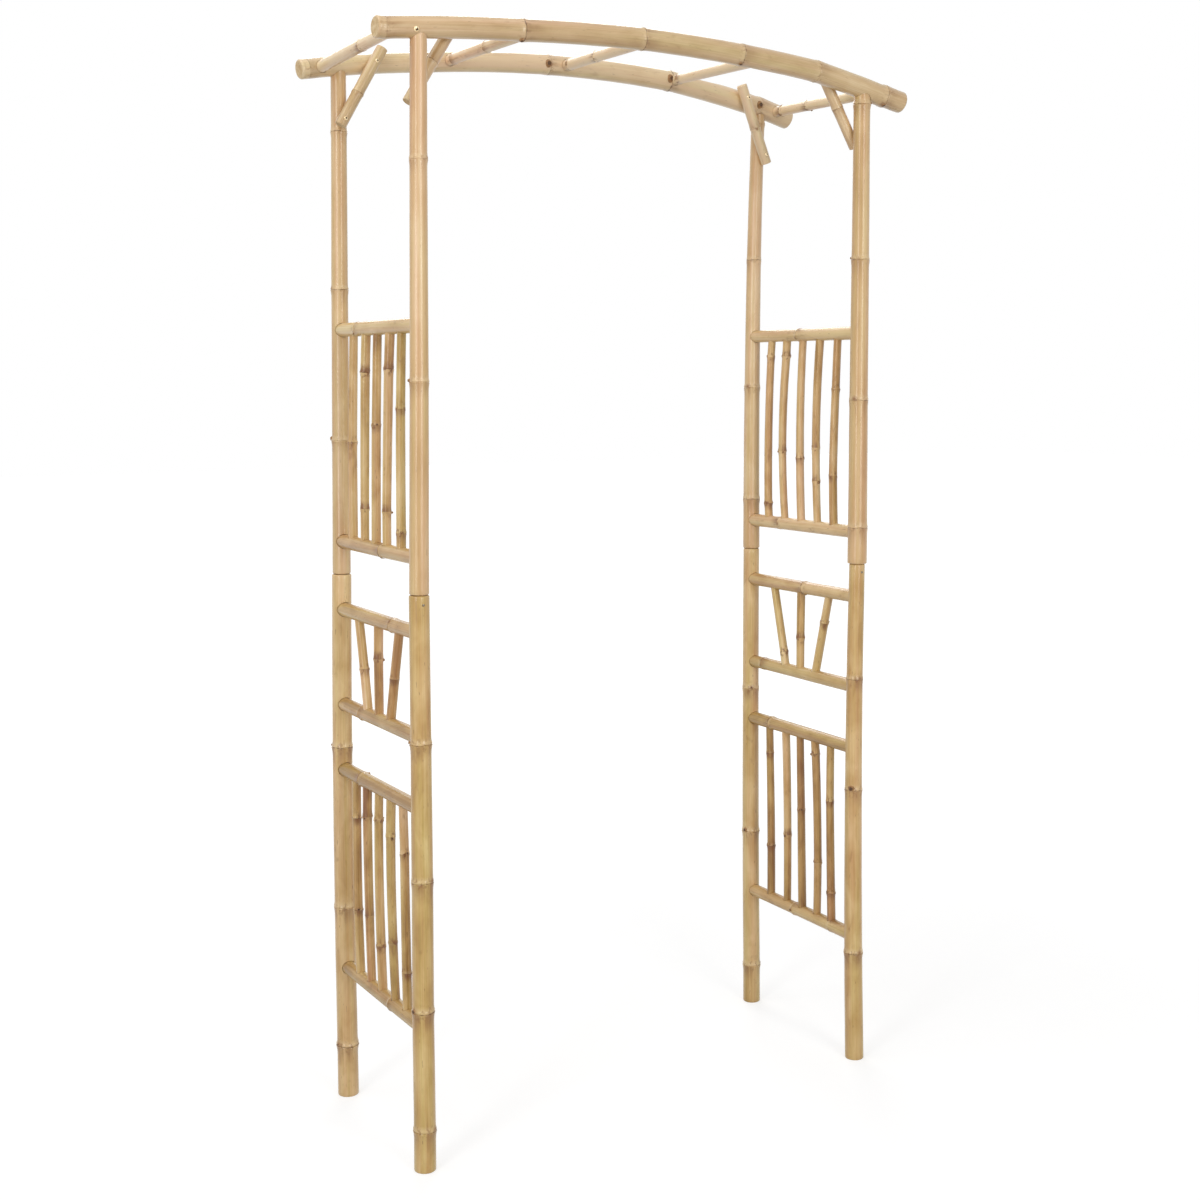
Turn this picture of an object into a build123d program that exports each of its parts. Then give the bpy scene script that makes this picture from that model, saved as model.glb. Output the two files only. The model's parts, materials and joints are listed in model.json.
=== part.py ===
from bisect import bisect
from build123d import *
from dataclasses import dataclass
import math
import os

# A knock-down garden arch of bamboo culms. Two ladder-like legs stand on the ground, and a head
# frame of upper posts, slat panels and roof slips down onto their spigots.
# X runs across the walkway, -Y is the front, Z is up. The origin is on the ground, below the
# middle of the beams. Every size is in millimetres.

# Plan, between axes
POST_SPACING = 881.0  # left posts to right posts, across the walkway
POST_DEPTH = 336.0  # front posts to back posts
LEFT_BEAM_END = 36.0  # first roof rung out to the beams' left ends
RIGHT_BEAM_END = 51.0  # last roof rung out to the front beam's right end
BACK_BEAM_SHORT = 12.0  # the back beam ends this far short of the front one, at the right

# Heights, stacked from the ground up, between axes
FOOT_RISE = 235.0  # ground to the lowest rung
LOWER_PANEL = 356.0  # between the rungs that hold the lower slats
WINDOW = 116.0  # open gap under the fan
FAN_PANEL = 168.0  # between the rungs that hold the fan
UPPER_PANEL = 369.0  # between the rungs that hold the upper slats
HEAD_ROOM = 459.0  # upper panel's top rung to the beams, at the posts

# Culms: outer diameters at mid length, and how fast a culm tapers
RUNG_DIAMETER = 24.5
SLAT_DIAMETER = 15.5
FAN_SLAT_DIAMETER = 16.0
ROOF_RUNG_DIAMETER = 20.0
BRACE_DIAMETER = 20.5
TOP_DIAMETER = 27.0  # post tops
THICK_TOP = 3.0  # the thickest post top is this much more
POST_CHEEK = 4.25  # wood beside a rung's hole, in a middling post
BEAM_CHEEK = 3.5  # wood beside the hole of the thickest post top
TAPER = 0.004  # loss of diameter for each millimetre of length
FRONT_BEAM_TAPER = 0.004
BACK_BEAM_TAPER = 0.006
WALL = 7.0  # wall round the hollow of a post or beam
DIAPHRAGM = 5.0  # closed floor across the hollow at a node
NODE_SWELL = 0.045  # rise of a node's ring, as a share of the diameter
NODE_REACH = 0.5  # half length of a node's swelling, as a share of the diameter
NODE_RIDGE = 0.09  # half width of the ring on its crest, as a share of the diameter
BOW_STEPS = 8  # straight facets along a bowed culm
ARC_STEPS = 20  # straight facets along a beam

LEAST_STEP = 0.5  # rings stand at least this far apart
SLOPE_STEP = 1.0  # the axis is followed this far to either side to find its direction

# Slats
SLAT_EDGE = 64.0  # posts to the first slat
FAN_FOOT_PITCH = 47.0  # between fan slats on their bottom rung
FAN_HEAD_PITCH = 89.0  # between fan slats on their top rung

# Roof
LEFT_RUNG_GAP = 10.5  # between the post top and the first roof rung, on the back beam
LAST_RUNG_SKEW = 12.0  # the last roof rung's front end stands this far left of its back end
RIGHT_RUNG_GAP = 6.0  # between the post top and the last roof rung, on the front beam
FRONT_BEAM_BEND = 3350.0  # bend radius of the front beam's axis
BACK_BEAM_BEND = 2700.0
POST_PAST_BEAM = 8.0  # post tops end this far above the beam's axis

# Slip joint and fasteners
SPIGOT_DIAMETER = 20.0
SPIGOT_REACH = 42.0  # stands out of the lower post
SPIGOT_SET = 42.0  # sits in the lower post
SPIGOT_CHAMFER = 2.0
SPIGOT_HEAD_GAP = 4.75  # spigot to the upper panel's bottom rung
SPIGOT_FOOT_GAP = 6.75  # spigot to the fan's top rung
NAIL_DROP = 14.0  # nail below the slip joint
NAIL_DIAMETER = 2.0
NAIL_HEAD_DIAMETER = 4.4
NAIL_HEAD = 1.0
BEAM_SCREW_DIAMETER = 4.0
BEAM_SCREW_HEAD_DIAMETER = 9.5
BEAM_SCREW_HEAD = 2.2
BEAM_SCREW_PAST_AXIS = 5.0  # screw points end this far past the post's axis
FRONT_SCREW_SHIFT = 11.0  # the front left beam screw stands this far outside the post's axis
FRONT_SCREW_SLANT = 21.0  # and points up at this angle in degrees
BRACE_SCREW_DIAMETER = 3.5
BRACE_SCREW_HEAD_DIAMETER = 7.0
BRACE_SCREW_HEAD = 1.8
BRACE_SCREW_BITE = 14.0  # in the post or beam
HEAD_TOP_SHARE = 0.6  # top of a head, as a share of its rim

# Clearances
GLUE_FIT = 0.3  # round a glued tenon
TENON_END_GAP = 0.8  # room for glue at a tenon's end
SLIP_FIT = 0.3  # round a spigot in the upper post
REST_GAP = 0.1  # between a brace or a head and the culm that it lies on
DRILL_MARGIN = 6.0  # drills start this far outside the culm

ACROSS = Vector(1, 0, 0)
BACK = Vector(0, 1, 0)
UP = Vector(0, 0, 1)


# Culms

def bow_rise(bow, share):
    """Sideways rise of an even bow, at a share of its length."""
    return 4 * bow * share * (1 - share)


class Culm:
    """A bamboo culm from start to end, with a swollen ring at each node, an even bow and kinks at its nodes."""

    def __init__(
        self, start, end, diameters, nodes, bow=0.0, bow_axis=BACK, steps=BOW_STEPS, square_to=None, kinks=None,
    ):
        self.start = start
        self.length = (end - start).length
        self.run = (end - start).normalized()
        self.first_diameter, self.last_diameter = diameters
        self.nodes = [share * self.length for share in nodes]
        self.bow = bow
        self.bow_axis = bow_axis
        self.steps = steps
        self.square_to = square_to
        self.kinks = kinks  # sideways rise at each node and at the last end

    def rise(self, distance):
        """Sideways rise of the axis."""
        rise = bow_rise(self.bow, distance / self.length)
        if self.kinks:
            marks = [*self.nodes, self.length]
            above = min(max(bisect(marks, distance), 1), len(marks) - 1)
            share = (distance - marks[above - 1]) / (marks[above] - marks[above - 1])
            rise += self.kinks[above - 1] + (self.kinks[above] - self.kinks[above - 1]) * share
        return rise

    def centre(self, distance):
        """Point on the culm's axis."""
        return self.start + self.run * distance + self.bow_axis * self.rise(distance)

    def heading(self, distance):
        """Direction of the culm's axis."""
        slope = (self.rise(distance + SLOPE_STEP) - self.rise(distance - SLOPE_STEP)) / (2 * SLOPE_STEP)
        return (self.run + self.bow_axis * slope).normalized()

    def bare_radius(self, distance):
        """Outer radius of the tapering culm without its rings."""
        share = distance / self.length
        return (self.first_diameter + (self.last_diameter - self.first_diameter) * share) / 2

    def radius(self, distance):
        """Outer radius, rings included."""
        swelling = 0.0
        for node in self.nodes:
            diameter = 2 * self.bare_radius(node)
            slope = (NODE_REACH * diameter - abs(distance - node)) / ((NODE_REACH - NODE_RIDGE) * diameter)
            swelling = max(swelling, NODE_SWELL * diameter * min(slope, 1.0))
        return self.bare_radius(distance) + swelling

    def stations(self, first, last):
        """Distances between two ends at which the culm's outline turns."""
        marks = [first, last]
        for node in self.nodes:
            diameter = 2 * self.bare_radius(node)
            for offset in (-NODE_REACH, -NODE_RIDGE, NODE_RIDGE, NODE_REACH):
                marks.append(node + offset * diameter)
        if self.bow:
            marks += [self.length * step / self.steps for step in range(1, self.steps)]
        inside = sorted(mark for mark in marks if first <= mark <= last)
        spaced = [inside[0]]
        for mark in inside[1:]:
            if mark - spaced[-1] > LEAST_STEP:
                spaced.append(mark)
        spaced[-1] = last
        return spaced

    def widest(self, first, last):
        """Largest outer radius between two distances."""
        return max(self.radius(distance) for distance in self.stations(first, last))

    def ring(self, distance, radius):
        """A circle square to the axis, or to the one direction that the culm is cut to."""
        side = ACROSS if abs(self.run.X) < 0.5 else BACK
        normal = self.square_to or self.heading(distance)
        return Wire.make_circle(radius, Plane(self.centre(distance), x_dir=side, z_dir=normal))

    def skin(self):
        """The culm's outer form, as one solid."""
        rings = [self.ring(distance, self.radius(distance)) for distance in self.stations(0, self.length)]
        return Solid.make_loft(rings, ruled=True)

    def hollows(self, ends):
        """The spaces between the diaphragms at nodes and at the given ends, where they leave room."""
        floors = sorted(self.nodes + ends)
        spaces = []
        for below, above in zip(floors, floors[1:]):
            first, last = below + DIAPHRAGM / 2, above - DIAPHRAGM / 2
            if last - first < DIAPHRAGM:
                continue
            marks = [first, last]
            if self.bow:
                turns = self.stations(0, self.length)
                marks[1:1] = [turn for turn in turns if first < turn < last]
            rings = [self.ring(mark, self.bare_radius(mark) - WALL) for mark in marks]
            spaces.append(Solid.make_loft(rings, ruled=True))
        return spaces

    def mortise(self, at_start, host_radius):
        """The blind hole that takes one end of this culm in a culm of the given radius."""
        depth = host_radius + DRILL_MARGIN
        tip = 0.0 if at_start else self.length
        mouth = depth if at_start else self.length - depth
        inward = (self.centre(tip) - self.centre(mouth)).normalized()
        radius = self.widest(min(tip, mouth), max(tip, mouth)) + GLUE_FIT
        return Solid.make_cylinder(radius, depth + TENON_END_GAP, Plane(self.centre(mouth), z_dir=inward))


def tapered(diameter, length, turned, rate=TAPER):
    """End diameters of a culm that tapers evenly about its middle."""
    loss = rate * length / 2
    ends = (diameter + loss, diameter - loss)
    return ends[::-1] if turned else ends


def cut(solid, cutters):
    """The solid with every cutter taken away."""
    return solid.cut(*cutters) if cutters else solid


# Fasteners

@dataclass
class Fastener:
    """A screw or nail: where its head seats, which way it points, and its sizes."""

    seat: Vector
    heading: Vector
    diameter: float
    length: float
    head_diameter: float
    head: float

    def solid(self):
        rim = self.head_diameter / 2
        crown = Solid.make_cone(rim, HEAD_TOP_SHARE * rim, self.head, Plane(self.seat, z_dir=-self.heading))
        shank = Solid.make_cylinder(self.diameter / 2, self.length, Plane(self.seat, z_dir=self.heading))
        return crown.fuse(shank)

    def hole(self):
        start = self.seat - self.heading * DRILL_MARGIN
        length = self.length + DRILL_MARGIN + REST_GAP
        return Solid.make_cylinder(self.diameter / 2 + REST_GAP, length, Plane(start, z_dir=self.heading))


# Places worked out from the sizes above

POST_DIAMETER = RUNG_DIAMETER + 2 * POST_CHEEK
BEAM_DIAMETER = TOP_DIAMETER + THICK_TOP + 2 * BEAM_CHEEK
LEFT_RUNG_STEP = (TOP_DIAMETER + ROOF_RUNG_DIAMETER) / 2 + LEFT_RUNG_GAP
RIGHT_RUNG_STEP = (TOP_DIAMETER + THICK_TOP + ROOF_RUNG_DIAMETER) / 2 + RIGHT_RUNG_GAP + LAST_RUNG_SKEW
BEAM_LENGTH = LEFT_BEAM_END + LEFT_RUNG_STEP + POST_SPACING + RIGHT_RUNG_STEP + RIGHT_BEAM_END
LEFT_POST_X = -BEAM_LENGTH / 2 + LEFT_BEAM_END + LEFT_RUNG_STEP
RIGHT_POST_X = LEFT_POST_X + POST_SPACING
LOWER_RUNG_HEIGHTS = [FOOT_RISE]
for rise in (LOWER_PANEL, WINDOW, FAN_PANEL):
    LOWER_RUNG_HEIGHTS.append(LOWER_RUNG_HEIGHTS[-1] + rise)
JOINT_HEIGHT = LOWER_RUNG_HEIGHTS[-1] + RUNG_DIAMETER / 2 + SPIGOT_FOOT_GAP + SPIGOT_SET
UPPER_RUNG_HEIGHTS = [JOINT_HEIGHT + SPIGOT_REACH + SPIGOT_HEAD_GAP + RUNG_DIAMETER / 2]
UPPER_RUNG_HEIGHTS.append(UPPER_RUNG_HEIGHTS[0] + UPPER_PANEL)
BEAM_HEIGHT = UPPER_RUNG_HEIGHTS[-1] + HEAD_ROOM


# Beams

def beam_distance(x):
    """Distance along a beam to a place across the arch."""
    return x + BEAM_LENGTH / 2


def make_beam(depth, length, bend, taper, nodes, kinks):
    """A beam whose bow crosses BEAM_HEIGHT midway between its heights at the two posts."""
    bow = bend - math.sqrt(bend**2 - (length / 2) ** 2)
    shares = [beam_distance(post) / length for post in (LEFT_POST_X, RIGHT_POST_X)]
    level = BEAM_HEIGHT - sum(bow_rise(bow, share) for share in shares) / 2
    diameters = tapered(BEAM_DIAMETER, length, True, taper)
    left = -BEAM_LENGTH / 2
    ends = Vector(left, depth, level), Vector(left + length, depth, level)
    return Culm(*ends, diameters, nodes, bow, UP, ARC_STEPS, kinks=kinks)


beams = {
    "front": make_beam(
        -POST_DEPTH / 2, BEAM_LENGTH, FRONT_BEAM_BEND, FRONT_BEAM_TAPER,
        nodes=[0.01, 0.242, 0.46, 0.652, 0.809, 0.958], kinks=[8.0, -1.0, -2.5, -4.0, -5.5, -18.0, -20.0],
    ),
    "back": make_beam(
        POST_DEPTH / 2, BEAM_LENGTH - BACK_BEAM_SHORT, BACK_BEAM_BEND, BACK_BEAM_TAPER,
        nodes=[0.01, 0.225, 0.465, 0.723, 0.927], kinks=[-2.0, -2.0, 1.5, 7.0, 0.0, -5.0],
    ),
}


# Posts. Each leans a little, so its axis strays sideways at the foot, at the joint and at the top,
# and each is a little thicker or thinner at its ends than the middling post.

@dataclass
class Post:
    """One corner of the arch, from the ground to its beam."""

    beam: str
    x: float
    strays: tuple
    bows: tuple
    lower_extras: tuple
    upper_extras: tuple
    lower_nodes: list
    upper_nodes: list

    def __post_init__(self):
        depth = beams[self.beam].start.Y
        foot, joint, top = [self.x + stray for stray in self.strays]
        beam_axis = beams[self.beam].centre(beam_distance(top)).Z
        self.joint = Vector(joint, depth, JOINT_HEIGHT)
        lower_ends = [POST_DIAMETER + extra for extra in self.lower_extras]
        upper_ends = [POST_DIAMETER + self.upper_extras[0], TOP_DIAMETER + self.upper_extras[1]]
        self.lower = Culm(
            Vector(foot, depth, 0), self.joint, lower_ends,
            self.lower_nodes, self.bows[0], ACROSS, square_to=UP,
        )
        self.upper = Culm(
            self.joint, Vector(top, depth, beam_axis + POST_PAST_BEAM), upper_ends,
            self.upper_nodes, self.bows[1], ACROSS, square_to=UP,
        )
        self.outward = BACK if self.beam == "back" else -BACK

    def half_at(self, height):
        """The half of the post that passes a height, and the distance along it."""
        half = self.lower if height < JOINT_HEIGHT else self.upper
        return half, (height - half.start.Z) / half.run.Z


posts = {
    "front_left": Post(
        "front", LEFT_POST_X, strays=(1.0, -3.0, 2.0), bows=(0.0, 0.0),
        lower_extras=(3.0, 0.0), upper_extras=(-1.0, 0.0),
        lower_nodes=[0.07, 0.28, 0.505, 0.745], upper_nodes=[0.3755, 0.762],
    ),
    "back_left": Post(
        "back", LEFT_POST_X, strays=(2.0, -2.0, 0.0), bows=(-3.0, 0.0),
        lower_extras=(4.0, 1.0), upper_extras=(-1.0, -0.5),
        lower_nodes=[0.097, 0.365, 0.672], upper_nodes=[0.264, 0.558, 0.865],
    ),
    "front_right": Post(
        "front", RIGHT_POST_X, strays=(3.0, 0.0, 3.0), bows=(-6.0, 0.0),
        lower_extras=(2.0, -4.0), upper_extras=(3.0, THICK_TOP),
        lower_nodes=[0.217, 0.548, 0.77], upper_nodes=[0.076, 0.344, 0.636, 0.956],
    ),
    "back_right": Post(
        "back", RIGHT_POST_X, strays=(4.0, -2.0, 10.0), bows=(-2.0, -5.0),
        lower_extras=(1.5, -1.0), upper_extras=(0.5, -1.0),
        lower_nodes=[0.081, 0.38, 0.695], upper_nodes=[0.112, 0.364, 0.65, 0.953],
    ),
}


# Rungs of the side frames, from the front post's axis to the back post's

def make_rung(side, height, nodes, turned):
    ends = []
    for face in ("front", "back"):
        half, distance = posts[f"{face}_{side}"].half_at(height)
        ends.append(half.centre(distance))
    return Culm(*ends, tapered(RUNG_DIAMETER, POST_DEPTH, turned), nodes)


LOWER_RUNG_NODES = {
    "left": [[0.354], [0.705], [0.696], [0.3]],
    "right": [[0.18, 0.53], [0.77], [0.854], [0.455]],
}
UPPER_RUNG_NODES = {"left": [[0.42], [0.73]], "right": [[0.696], [0.527]]}

lower_rungs = {}
upper_rungs = {}
for side in ("left", "right"):
    lower_rungs[side] = [
        make_rung(side, height, nodes, turned=index % 2 == 1)
        for index, (height, nodes) in enumerate(zip(LOWER_RUNG_HEIGHTS, LOWER_RUNG_NODES[side]))
    ]
    upper_rungs[side] = [
        make_rung(side, height, nodes, turned=index % 2 == 0)
        for index, (height, nodes) in enumerate(zip(UPPER_RUNG_HEIGHTS, UPPER_RUNG_NODES[side]))
    ]


# Slats, from the axis of the rung below to the axis of the rung above.
# Each row gives how far its foot and head stray from an even row, its bow, and its nodes.

def make_slat(below, above, foot, head, diameter, nodes, bow, turned):
    """A slat between two rungs, at given places along them."""
    middle = POST_DEPTH / 2
    ends = below.centre(middle + foot), above.centre(middle + head)
    length = (ends[1] - ends[0]).length
    return Culm(*ends, tapered(diameter, length, turned), nodes, bow, BACK)


LOWER_SLATS = {
    "left": [
        (-8.0, -1.0, 4.0, [0.335, 0.79]), (-6.0, 3.0, 4.0, [0.346, 0.83]), (-2.0, 4.0, 8.0, [0.234, 0.843]),
        (-5.0, 5.0, 9.0, [0.293, 0.797]), (-1.0, 9.0, 2.0, [0.193, 0.75]),
    ],
    "right": [
        (-8.0, -3.0, -2.5, [0.3, 0.83]), (-11.0, -6.0, -3.5, [0.404]), (-9.0, -1.0, 1.0, [0.567]),
        (-4.0, 4.0, -4.0, [0.315, 0.905]), (2.0, 6.0, 1.0, [0.177, 0.674]),
    ],
}
UPPER_SLATS = {
    "left": [
        (7.0, 0.0, 1.0, [0.474]), (6.0, -4.0, 2.0, [0.174, 0.8]), (8.0, -1.0, 2.0, [0.563]),
        (14.0, -2.0, 1.0, [0.179, 0.813]), (7.0, 3.0, 2.0, [0.092, 0.64]),
    ],
    "right": [
        (3.0, -3.0, 6.0, [0.098, 0.886]), (2.0, 0.0, 13.0, [0.389, 0.894]), (2.0, 1.0, 7.5, [0.353]),
        (3.0, 0.0, 9.5, [0.242, 0.417]), (6.0, -1.0, 5.5, [0.274, 0.716]),
    ],
}
FAN_NODES = {"left": [[0.44], [0.61], [0.48]], "right": [[0.2], [0.41], [0.64]]}


def make_panel(below, above, rows):
    """A panel's slats, from back to front."""
    slats = []
    pitch = (POST_DEPTH - 2 * SLAT_EDGE) / (len(rows) - 1)
    for index, (foot, head, bow, nodes) in enumerate(rows):
        place = POST_DEPTH / 2 - SLAT_EDGE - index * pitch
        slats.append(
            make_slat(below, above, place + foot, place + head, SLAT_DIAMETER, nodes, bow, index % 2 == 1)
        )
    return slats


def make_fan(below, above, rows):
    """Three slats that spread towards the top."""
    slats = []
    for step, nodes in zip((1, 0, -1), rows):
        foot, head = step * FAN_FOOT_PITCH, step * FAN_HEAD_PITCH
        slats.append(make_slat(below, above, foot, head, FAN_SLAT_DIAMETER, nodes, 0.0, step == 0))
    return slats


lower_slats = {}
upper_slats = {}
fan_slats = {}
for side in ("left", "right"):
    lower_slats[side] = make_panel(*lower_rungs[side][:2], LOWER_SLATS[side])
    fan_slats[side] = make_fan(*lower_rungs[side][2:], FAN_NODES[side])
    upper_slats[side] = make_panel(*upper_rungs[side], UPPER_SLATS[side])


# Roof rungs, from the front beam's axis to the back beam's.
# Each row gives how far its front end stands left of its back end and below the beam's axis, and its nodes.

ROOF_RUNG_ROWS = [
    (10.0, 5.0, [0.37]), (3.0, 0.0, [0.5, 0.9]), (18.0, 0.0, [0.58, 0.9]), (23.0, 0.0, [0.9]),
    (LAST_RUNG_SKEW, 0.0, [0.62, 0.88]),
]


def make_roof_rung(index, skew, sink, nodes):
    first = LEFT_POST_X - LEFT_RUNG_STEP
    last = RIGHT_POST_X + RIGHT_RUNG_STEP
    place = first + (last - first) * index / (len(ROOF_RUNG_ROWS) - 1)
    ends = [
        beams["front"].centre(beam_distance(place - skew)) - UP * sink,
        beams["back"].centre(beam_distance(place)),
    ]
    return Culm(*ends, tapered(ROOF_RUNG_DIAMETER, POST_DEPTH, index % 2 == 0), nodes)


roof_rungs = [make_roof_rung(index, *row) for index, row in enumerate(ROOF_RUNG_ROWS)]


# Diagonal braces on the inner faces of posts and beams

@dataclass
class Brace:
    """A brace across one corner: its drop down the post, its run along the beam, and its tails."""

    corner: str
    drop: float
    run: float
    lower_tail: float
    upper_tail: float
    node: float

    def __post_init__(self):
        post = posts[self.corner]
        beam = beams[post.beam]
        radius = BRACE_DIAMETER / 2
        inward = -post.outward
        towards = 1 if self.corner.endswith("left") else -1
        top = post.upper.centre(post.upper.length).X
        height = beam.centre(beam_distance(top)).Z - self.drop
        half, along = post.half_at(height)
        stand_off = half.widest(along - BRACE_DIAMETER, along + BRACE_DIAMETER) + radius + REST_GAP
        self.on_post = half.centre(along) + inward * stand_off
        along = beam_distance(top + towards * self.run)
        stand_off = beam.widest(along - BRACE_DIAMETER, along + BRACE_DIAMETER) + radius + REST_GAP
        self.on_beam = beam.centre(along) + inward * stand_off
        heading = (self.on_beam - self.on_post).normalized()
        start = self.on_post - heading * self.lower_tail
        end = self.on_beam + heading * self.upper_tail
        self.culm = Culm(start, end, (BRACE_DIAMETER, BRACE_DIAMETER), [self.node])
        self.screws = [
            Fastener(
                place + inward * (radius + 2 * REST_GAP), -inward, BRACE_SCREW_DIAMETER,
                BRACE_DIAMETER + BRACE_SCREW_BITE, BRACE_SCREW_HEAD_DIAMETER, BRACE_SCREW_HEAD,
            )
            for place in (self.on_post, self.on_beam)
        ]


braces = {
    brace.corner: brace
    for brace in (
        Brace("front_left", drop=103.0, run=67.5, lower_tail=13.0, upper_tail=20.0, node=0.5),
        Brace("back_left", drop=94.0, run=57.0, lower_tail=13.0, upper_tail=27.5, node=0.42),
        Brace("front_right", drop=97.0, run=62.0, lower_tail=9.0, upper_tail=27.0, node=0.5),
        Brace("back_right", drop=97.0, run=52.0, lower_tail=18.0, upper_tail=26.0, node=0.46),
    )
}


# Screws that hold the beams to the post tops: the front left one faces the front, the others the back

def make_beam_screw(corner):
    post = posts[corner]
    beam = beams[post.beam]
    seen = corner == "front_left"
    slant = math.radians(FRONT_SCREW_SLANT)
    face = -BACK * math.cos(slant) - UP * math.sin(slant) if seen else BACK
    along = beam_distance(post.upper.centre(post.upper.length).X - FRONT_SCREW_SHIFT * seen)
    heading = beam.heading(along)
    face = (face - heading * face.dot(heading)).normalized()
    stand_off = beam.radius(along) + REST_GAP
    return Fastener(
        beam.centre(along) + face * stand_off, -face, BEAM_SCREW_DIAMETER,
        stand_off + BEAM_SCREW_PAST_AXIS, BEAM_SCREW_HEAD_DIAMETER, BEAM_SCREW_HEAD,
    )


beam_screws = {corner: make_beam_screw(corner) for corner in posts}


# Spigots of the slip joints, and the nails that hold them in the lower posts

def make_spigot_nail(post):
    along = post.lower.length - NAIL_DROP
    stand_off = post.lower.radius(along) + REST_GAP
    return Fastener(
        post.lower.centre(along) + post.outward * stand_off, -post.outward, NAIL_DIAMETER,
        stand_off, NAIL_HEAD_DIAMETER, NAIL_HEAD,
    )


def spigot_bore(post, depth, direction, fit):
    radius = SPIGOT_DIAMETER / 2 + fit
    return Solid.make_cylinder(radius, depth + fit, Plane(post.joint, z_dir=direction))


def spigot_solid(post, nail):
    base = post.joint - UP * SPIGOT_SET
    peg = Solid.make_cylinder(SPIGOT_DIAMETER / 2, SPIGOT_SET + SPIGOT_REACH, Plane(base, z_dir=UP))
    ends = peg.edges().filter_by(GeomType.CIRCLE)
    return cut(peg.chamfer(SPIGOT_CHAMFER, None, ends), [nail.hole()])


spigot_nails = {corner: make_spigot_nail(post) for corner, post in posts.items()}


# Solids, one named part each

parts = {}

for corner, post in posts.items():
    side = corner.split("_")[1]
    at_front = post.beam == "front"
    lower_cuts = post.lower.hollows([-DIAPHRAGM, post.lower.length - SPIGOT_SET - DIAPHRAGM])
    reach = post.lower.widest(0, post.lower.length)
    lower_cuts += [rung.mortise(at_front, reach) for rung in lower_rungs[side]]
    lower_cuts += [spigot_bore(post, SPIGOT_SET, -UP, GLUE_FIT), spigot_nails[corner].hole()]
    parts[f"{corner}_lower_post"] = cut(post.lower.skin(), lower_cuts)
    upper_cuts = post.upper.hollows([SPIGOT_REACH + DIAPHRAGM, post.upper.length + DIAPHRAGM])
    reach = post.upper.widest(0, post.upper.length)
    upper_cuts += [rung.mortise(at_front, reach) for rung in upper_rungs[side]]
    upper_cuts += [spigot_bore(post, SPIGOT_REACH, UP, SLIP_FIT), beam_screws[corner].hole()]
    upper_cuts += [braces[corner].screws[0].hole()]
    parts[f"{corner}_upper_post"] = cut(post.upper.skin(), upper_cuts)

for side in ("left", "right"):
    panels = [lower_slats[side], lower_slats[side], fan_slats[side], fan_slats[side]]
    for number, (rung, slats) in enumerate(zip(lower_rungs[side], panels), start=1):
        holes = [slat.mortise(number % 2 == 1, rung.widest(0, rung.length)) for slat in slats]
        parts[f"{side}_lower_rung_{number}"] = cut(rung.skin(), holes)
    for number, rung in enumerate(upper_rungs[side], start=1):
        holes = [slat.mortise(number == 1, rung.widest(0, rung.length)) for slat in upper_slats[side]]
        parts[f"{side}_upper_rung_{number}"] = cut(rung.skin(), holes)
    for number, slat in enumerate(lower_slats[side], start=1):
        parts[f"{side}_lower_slat_{number}"] = slat.skin()
    for number, slat in enumerate(upper_slats[side], start=1):
        parts[f"{side}_upper_slat_{number}"] = slat.skin()
    parts[f"{side}_fan_slats"] = Compound([slat.skin() for slat in fan_slats[side]])

for face, beam in beams.items():
    reach = beam.widest(0, beam.length)
    holes = beam.hollows([beam.length + DIAPHRAGM])
    holes += [rung.mortise(face == "front", reach) for rung in roof_rungs]
    for corner, post in posts.items():
        if post.beam == face:
            holes += [post.upper.mortise(False, reach + POST_PAST_BEAM)]
            holes += [beam_screws[corner].hole(), braces[corner].screws[1].hole()]
    parts[f"{face}_beam"] = cut(beam.skin(), holes)

for number, rung in enumerate(roof_rungs, start=1):
    parts[f"roof_rung_{number}"] = rung.skin()

for corner, brace in braces.items():
    parts[f"{corner}_brace"] = cut(brace.culm.skin(), [screw.hole() for screw in brace.screws])

for side in ("left", "right"):
    corners = [f"front_{side}", f"back_{side}"]
    spigots = [spigot_solid(posts[corner], spigot_nails[corner]) for corner in corners]
    parts[f"{side}_spigots"] = Compound(spigots)
    parts[f"{side}_spigot_nails"] = Compound([spigot_nails[corner].solid() for corner in corners])

parts["beam_screws"] = Compound([screw.solid() for screw in beam_screws.values()])
parts["brace_screws"] = Compound([screw.solid() for brace in braces.values() for screw in brace.screws])

os.makedirs("parts", exist_ok=True)
for name, shape in parts.items():
    export_step(shape, f"parts/{name}.step")
print(len(parts), "parts; joint at", JOINT_HEIGHT, "mm, beams", BEAM_LENGTH, "mm long")
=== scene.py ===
# %% [markdown]
# # A bamboo garden arch
# The arch is a knock-down frame: two ladder legs, and a head frame that slips onto their spigots.
# The CAD frame holds every pole at its true place, as a plain tapering rod with a plain swelling at
# each node. This lesson reads those rods and grows a real bamboo pole, a culm, round each axis.
# Every length is in metres, in the frame's own axes: X across the walkway, -Y the front, Z up.

# %% Load the frame
import json
import math
import random

import bmesh
import bpy
import numpy as np
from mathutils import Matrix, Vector
from mathutils.bvhtree import BVHTree


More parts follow.
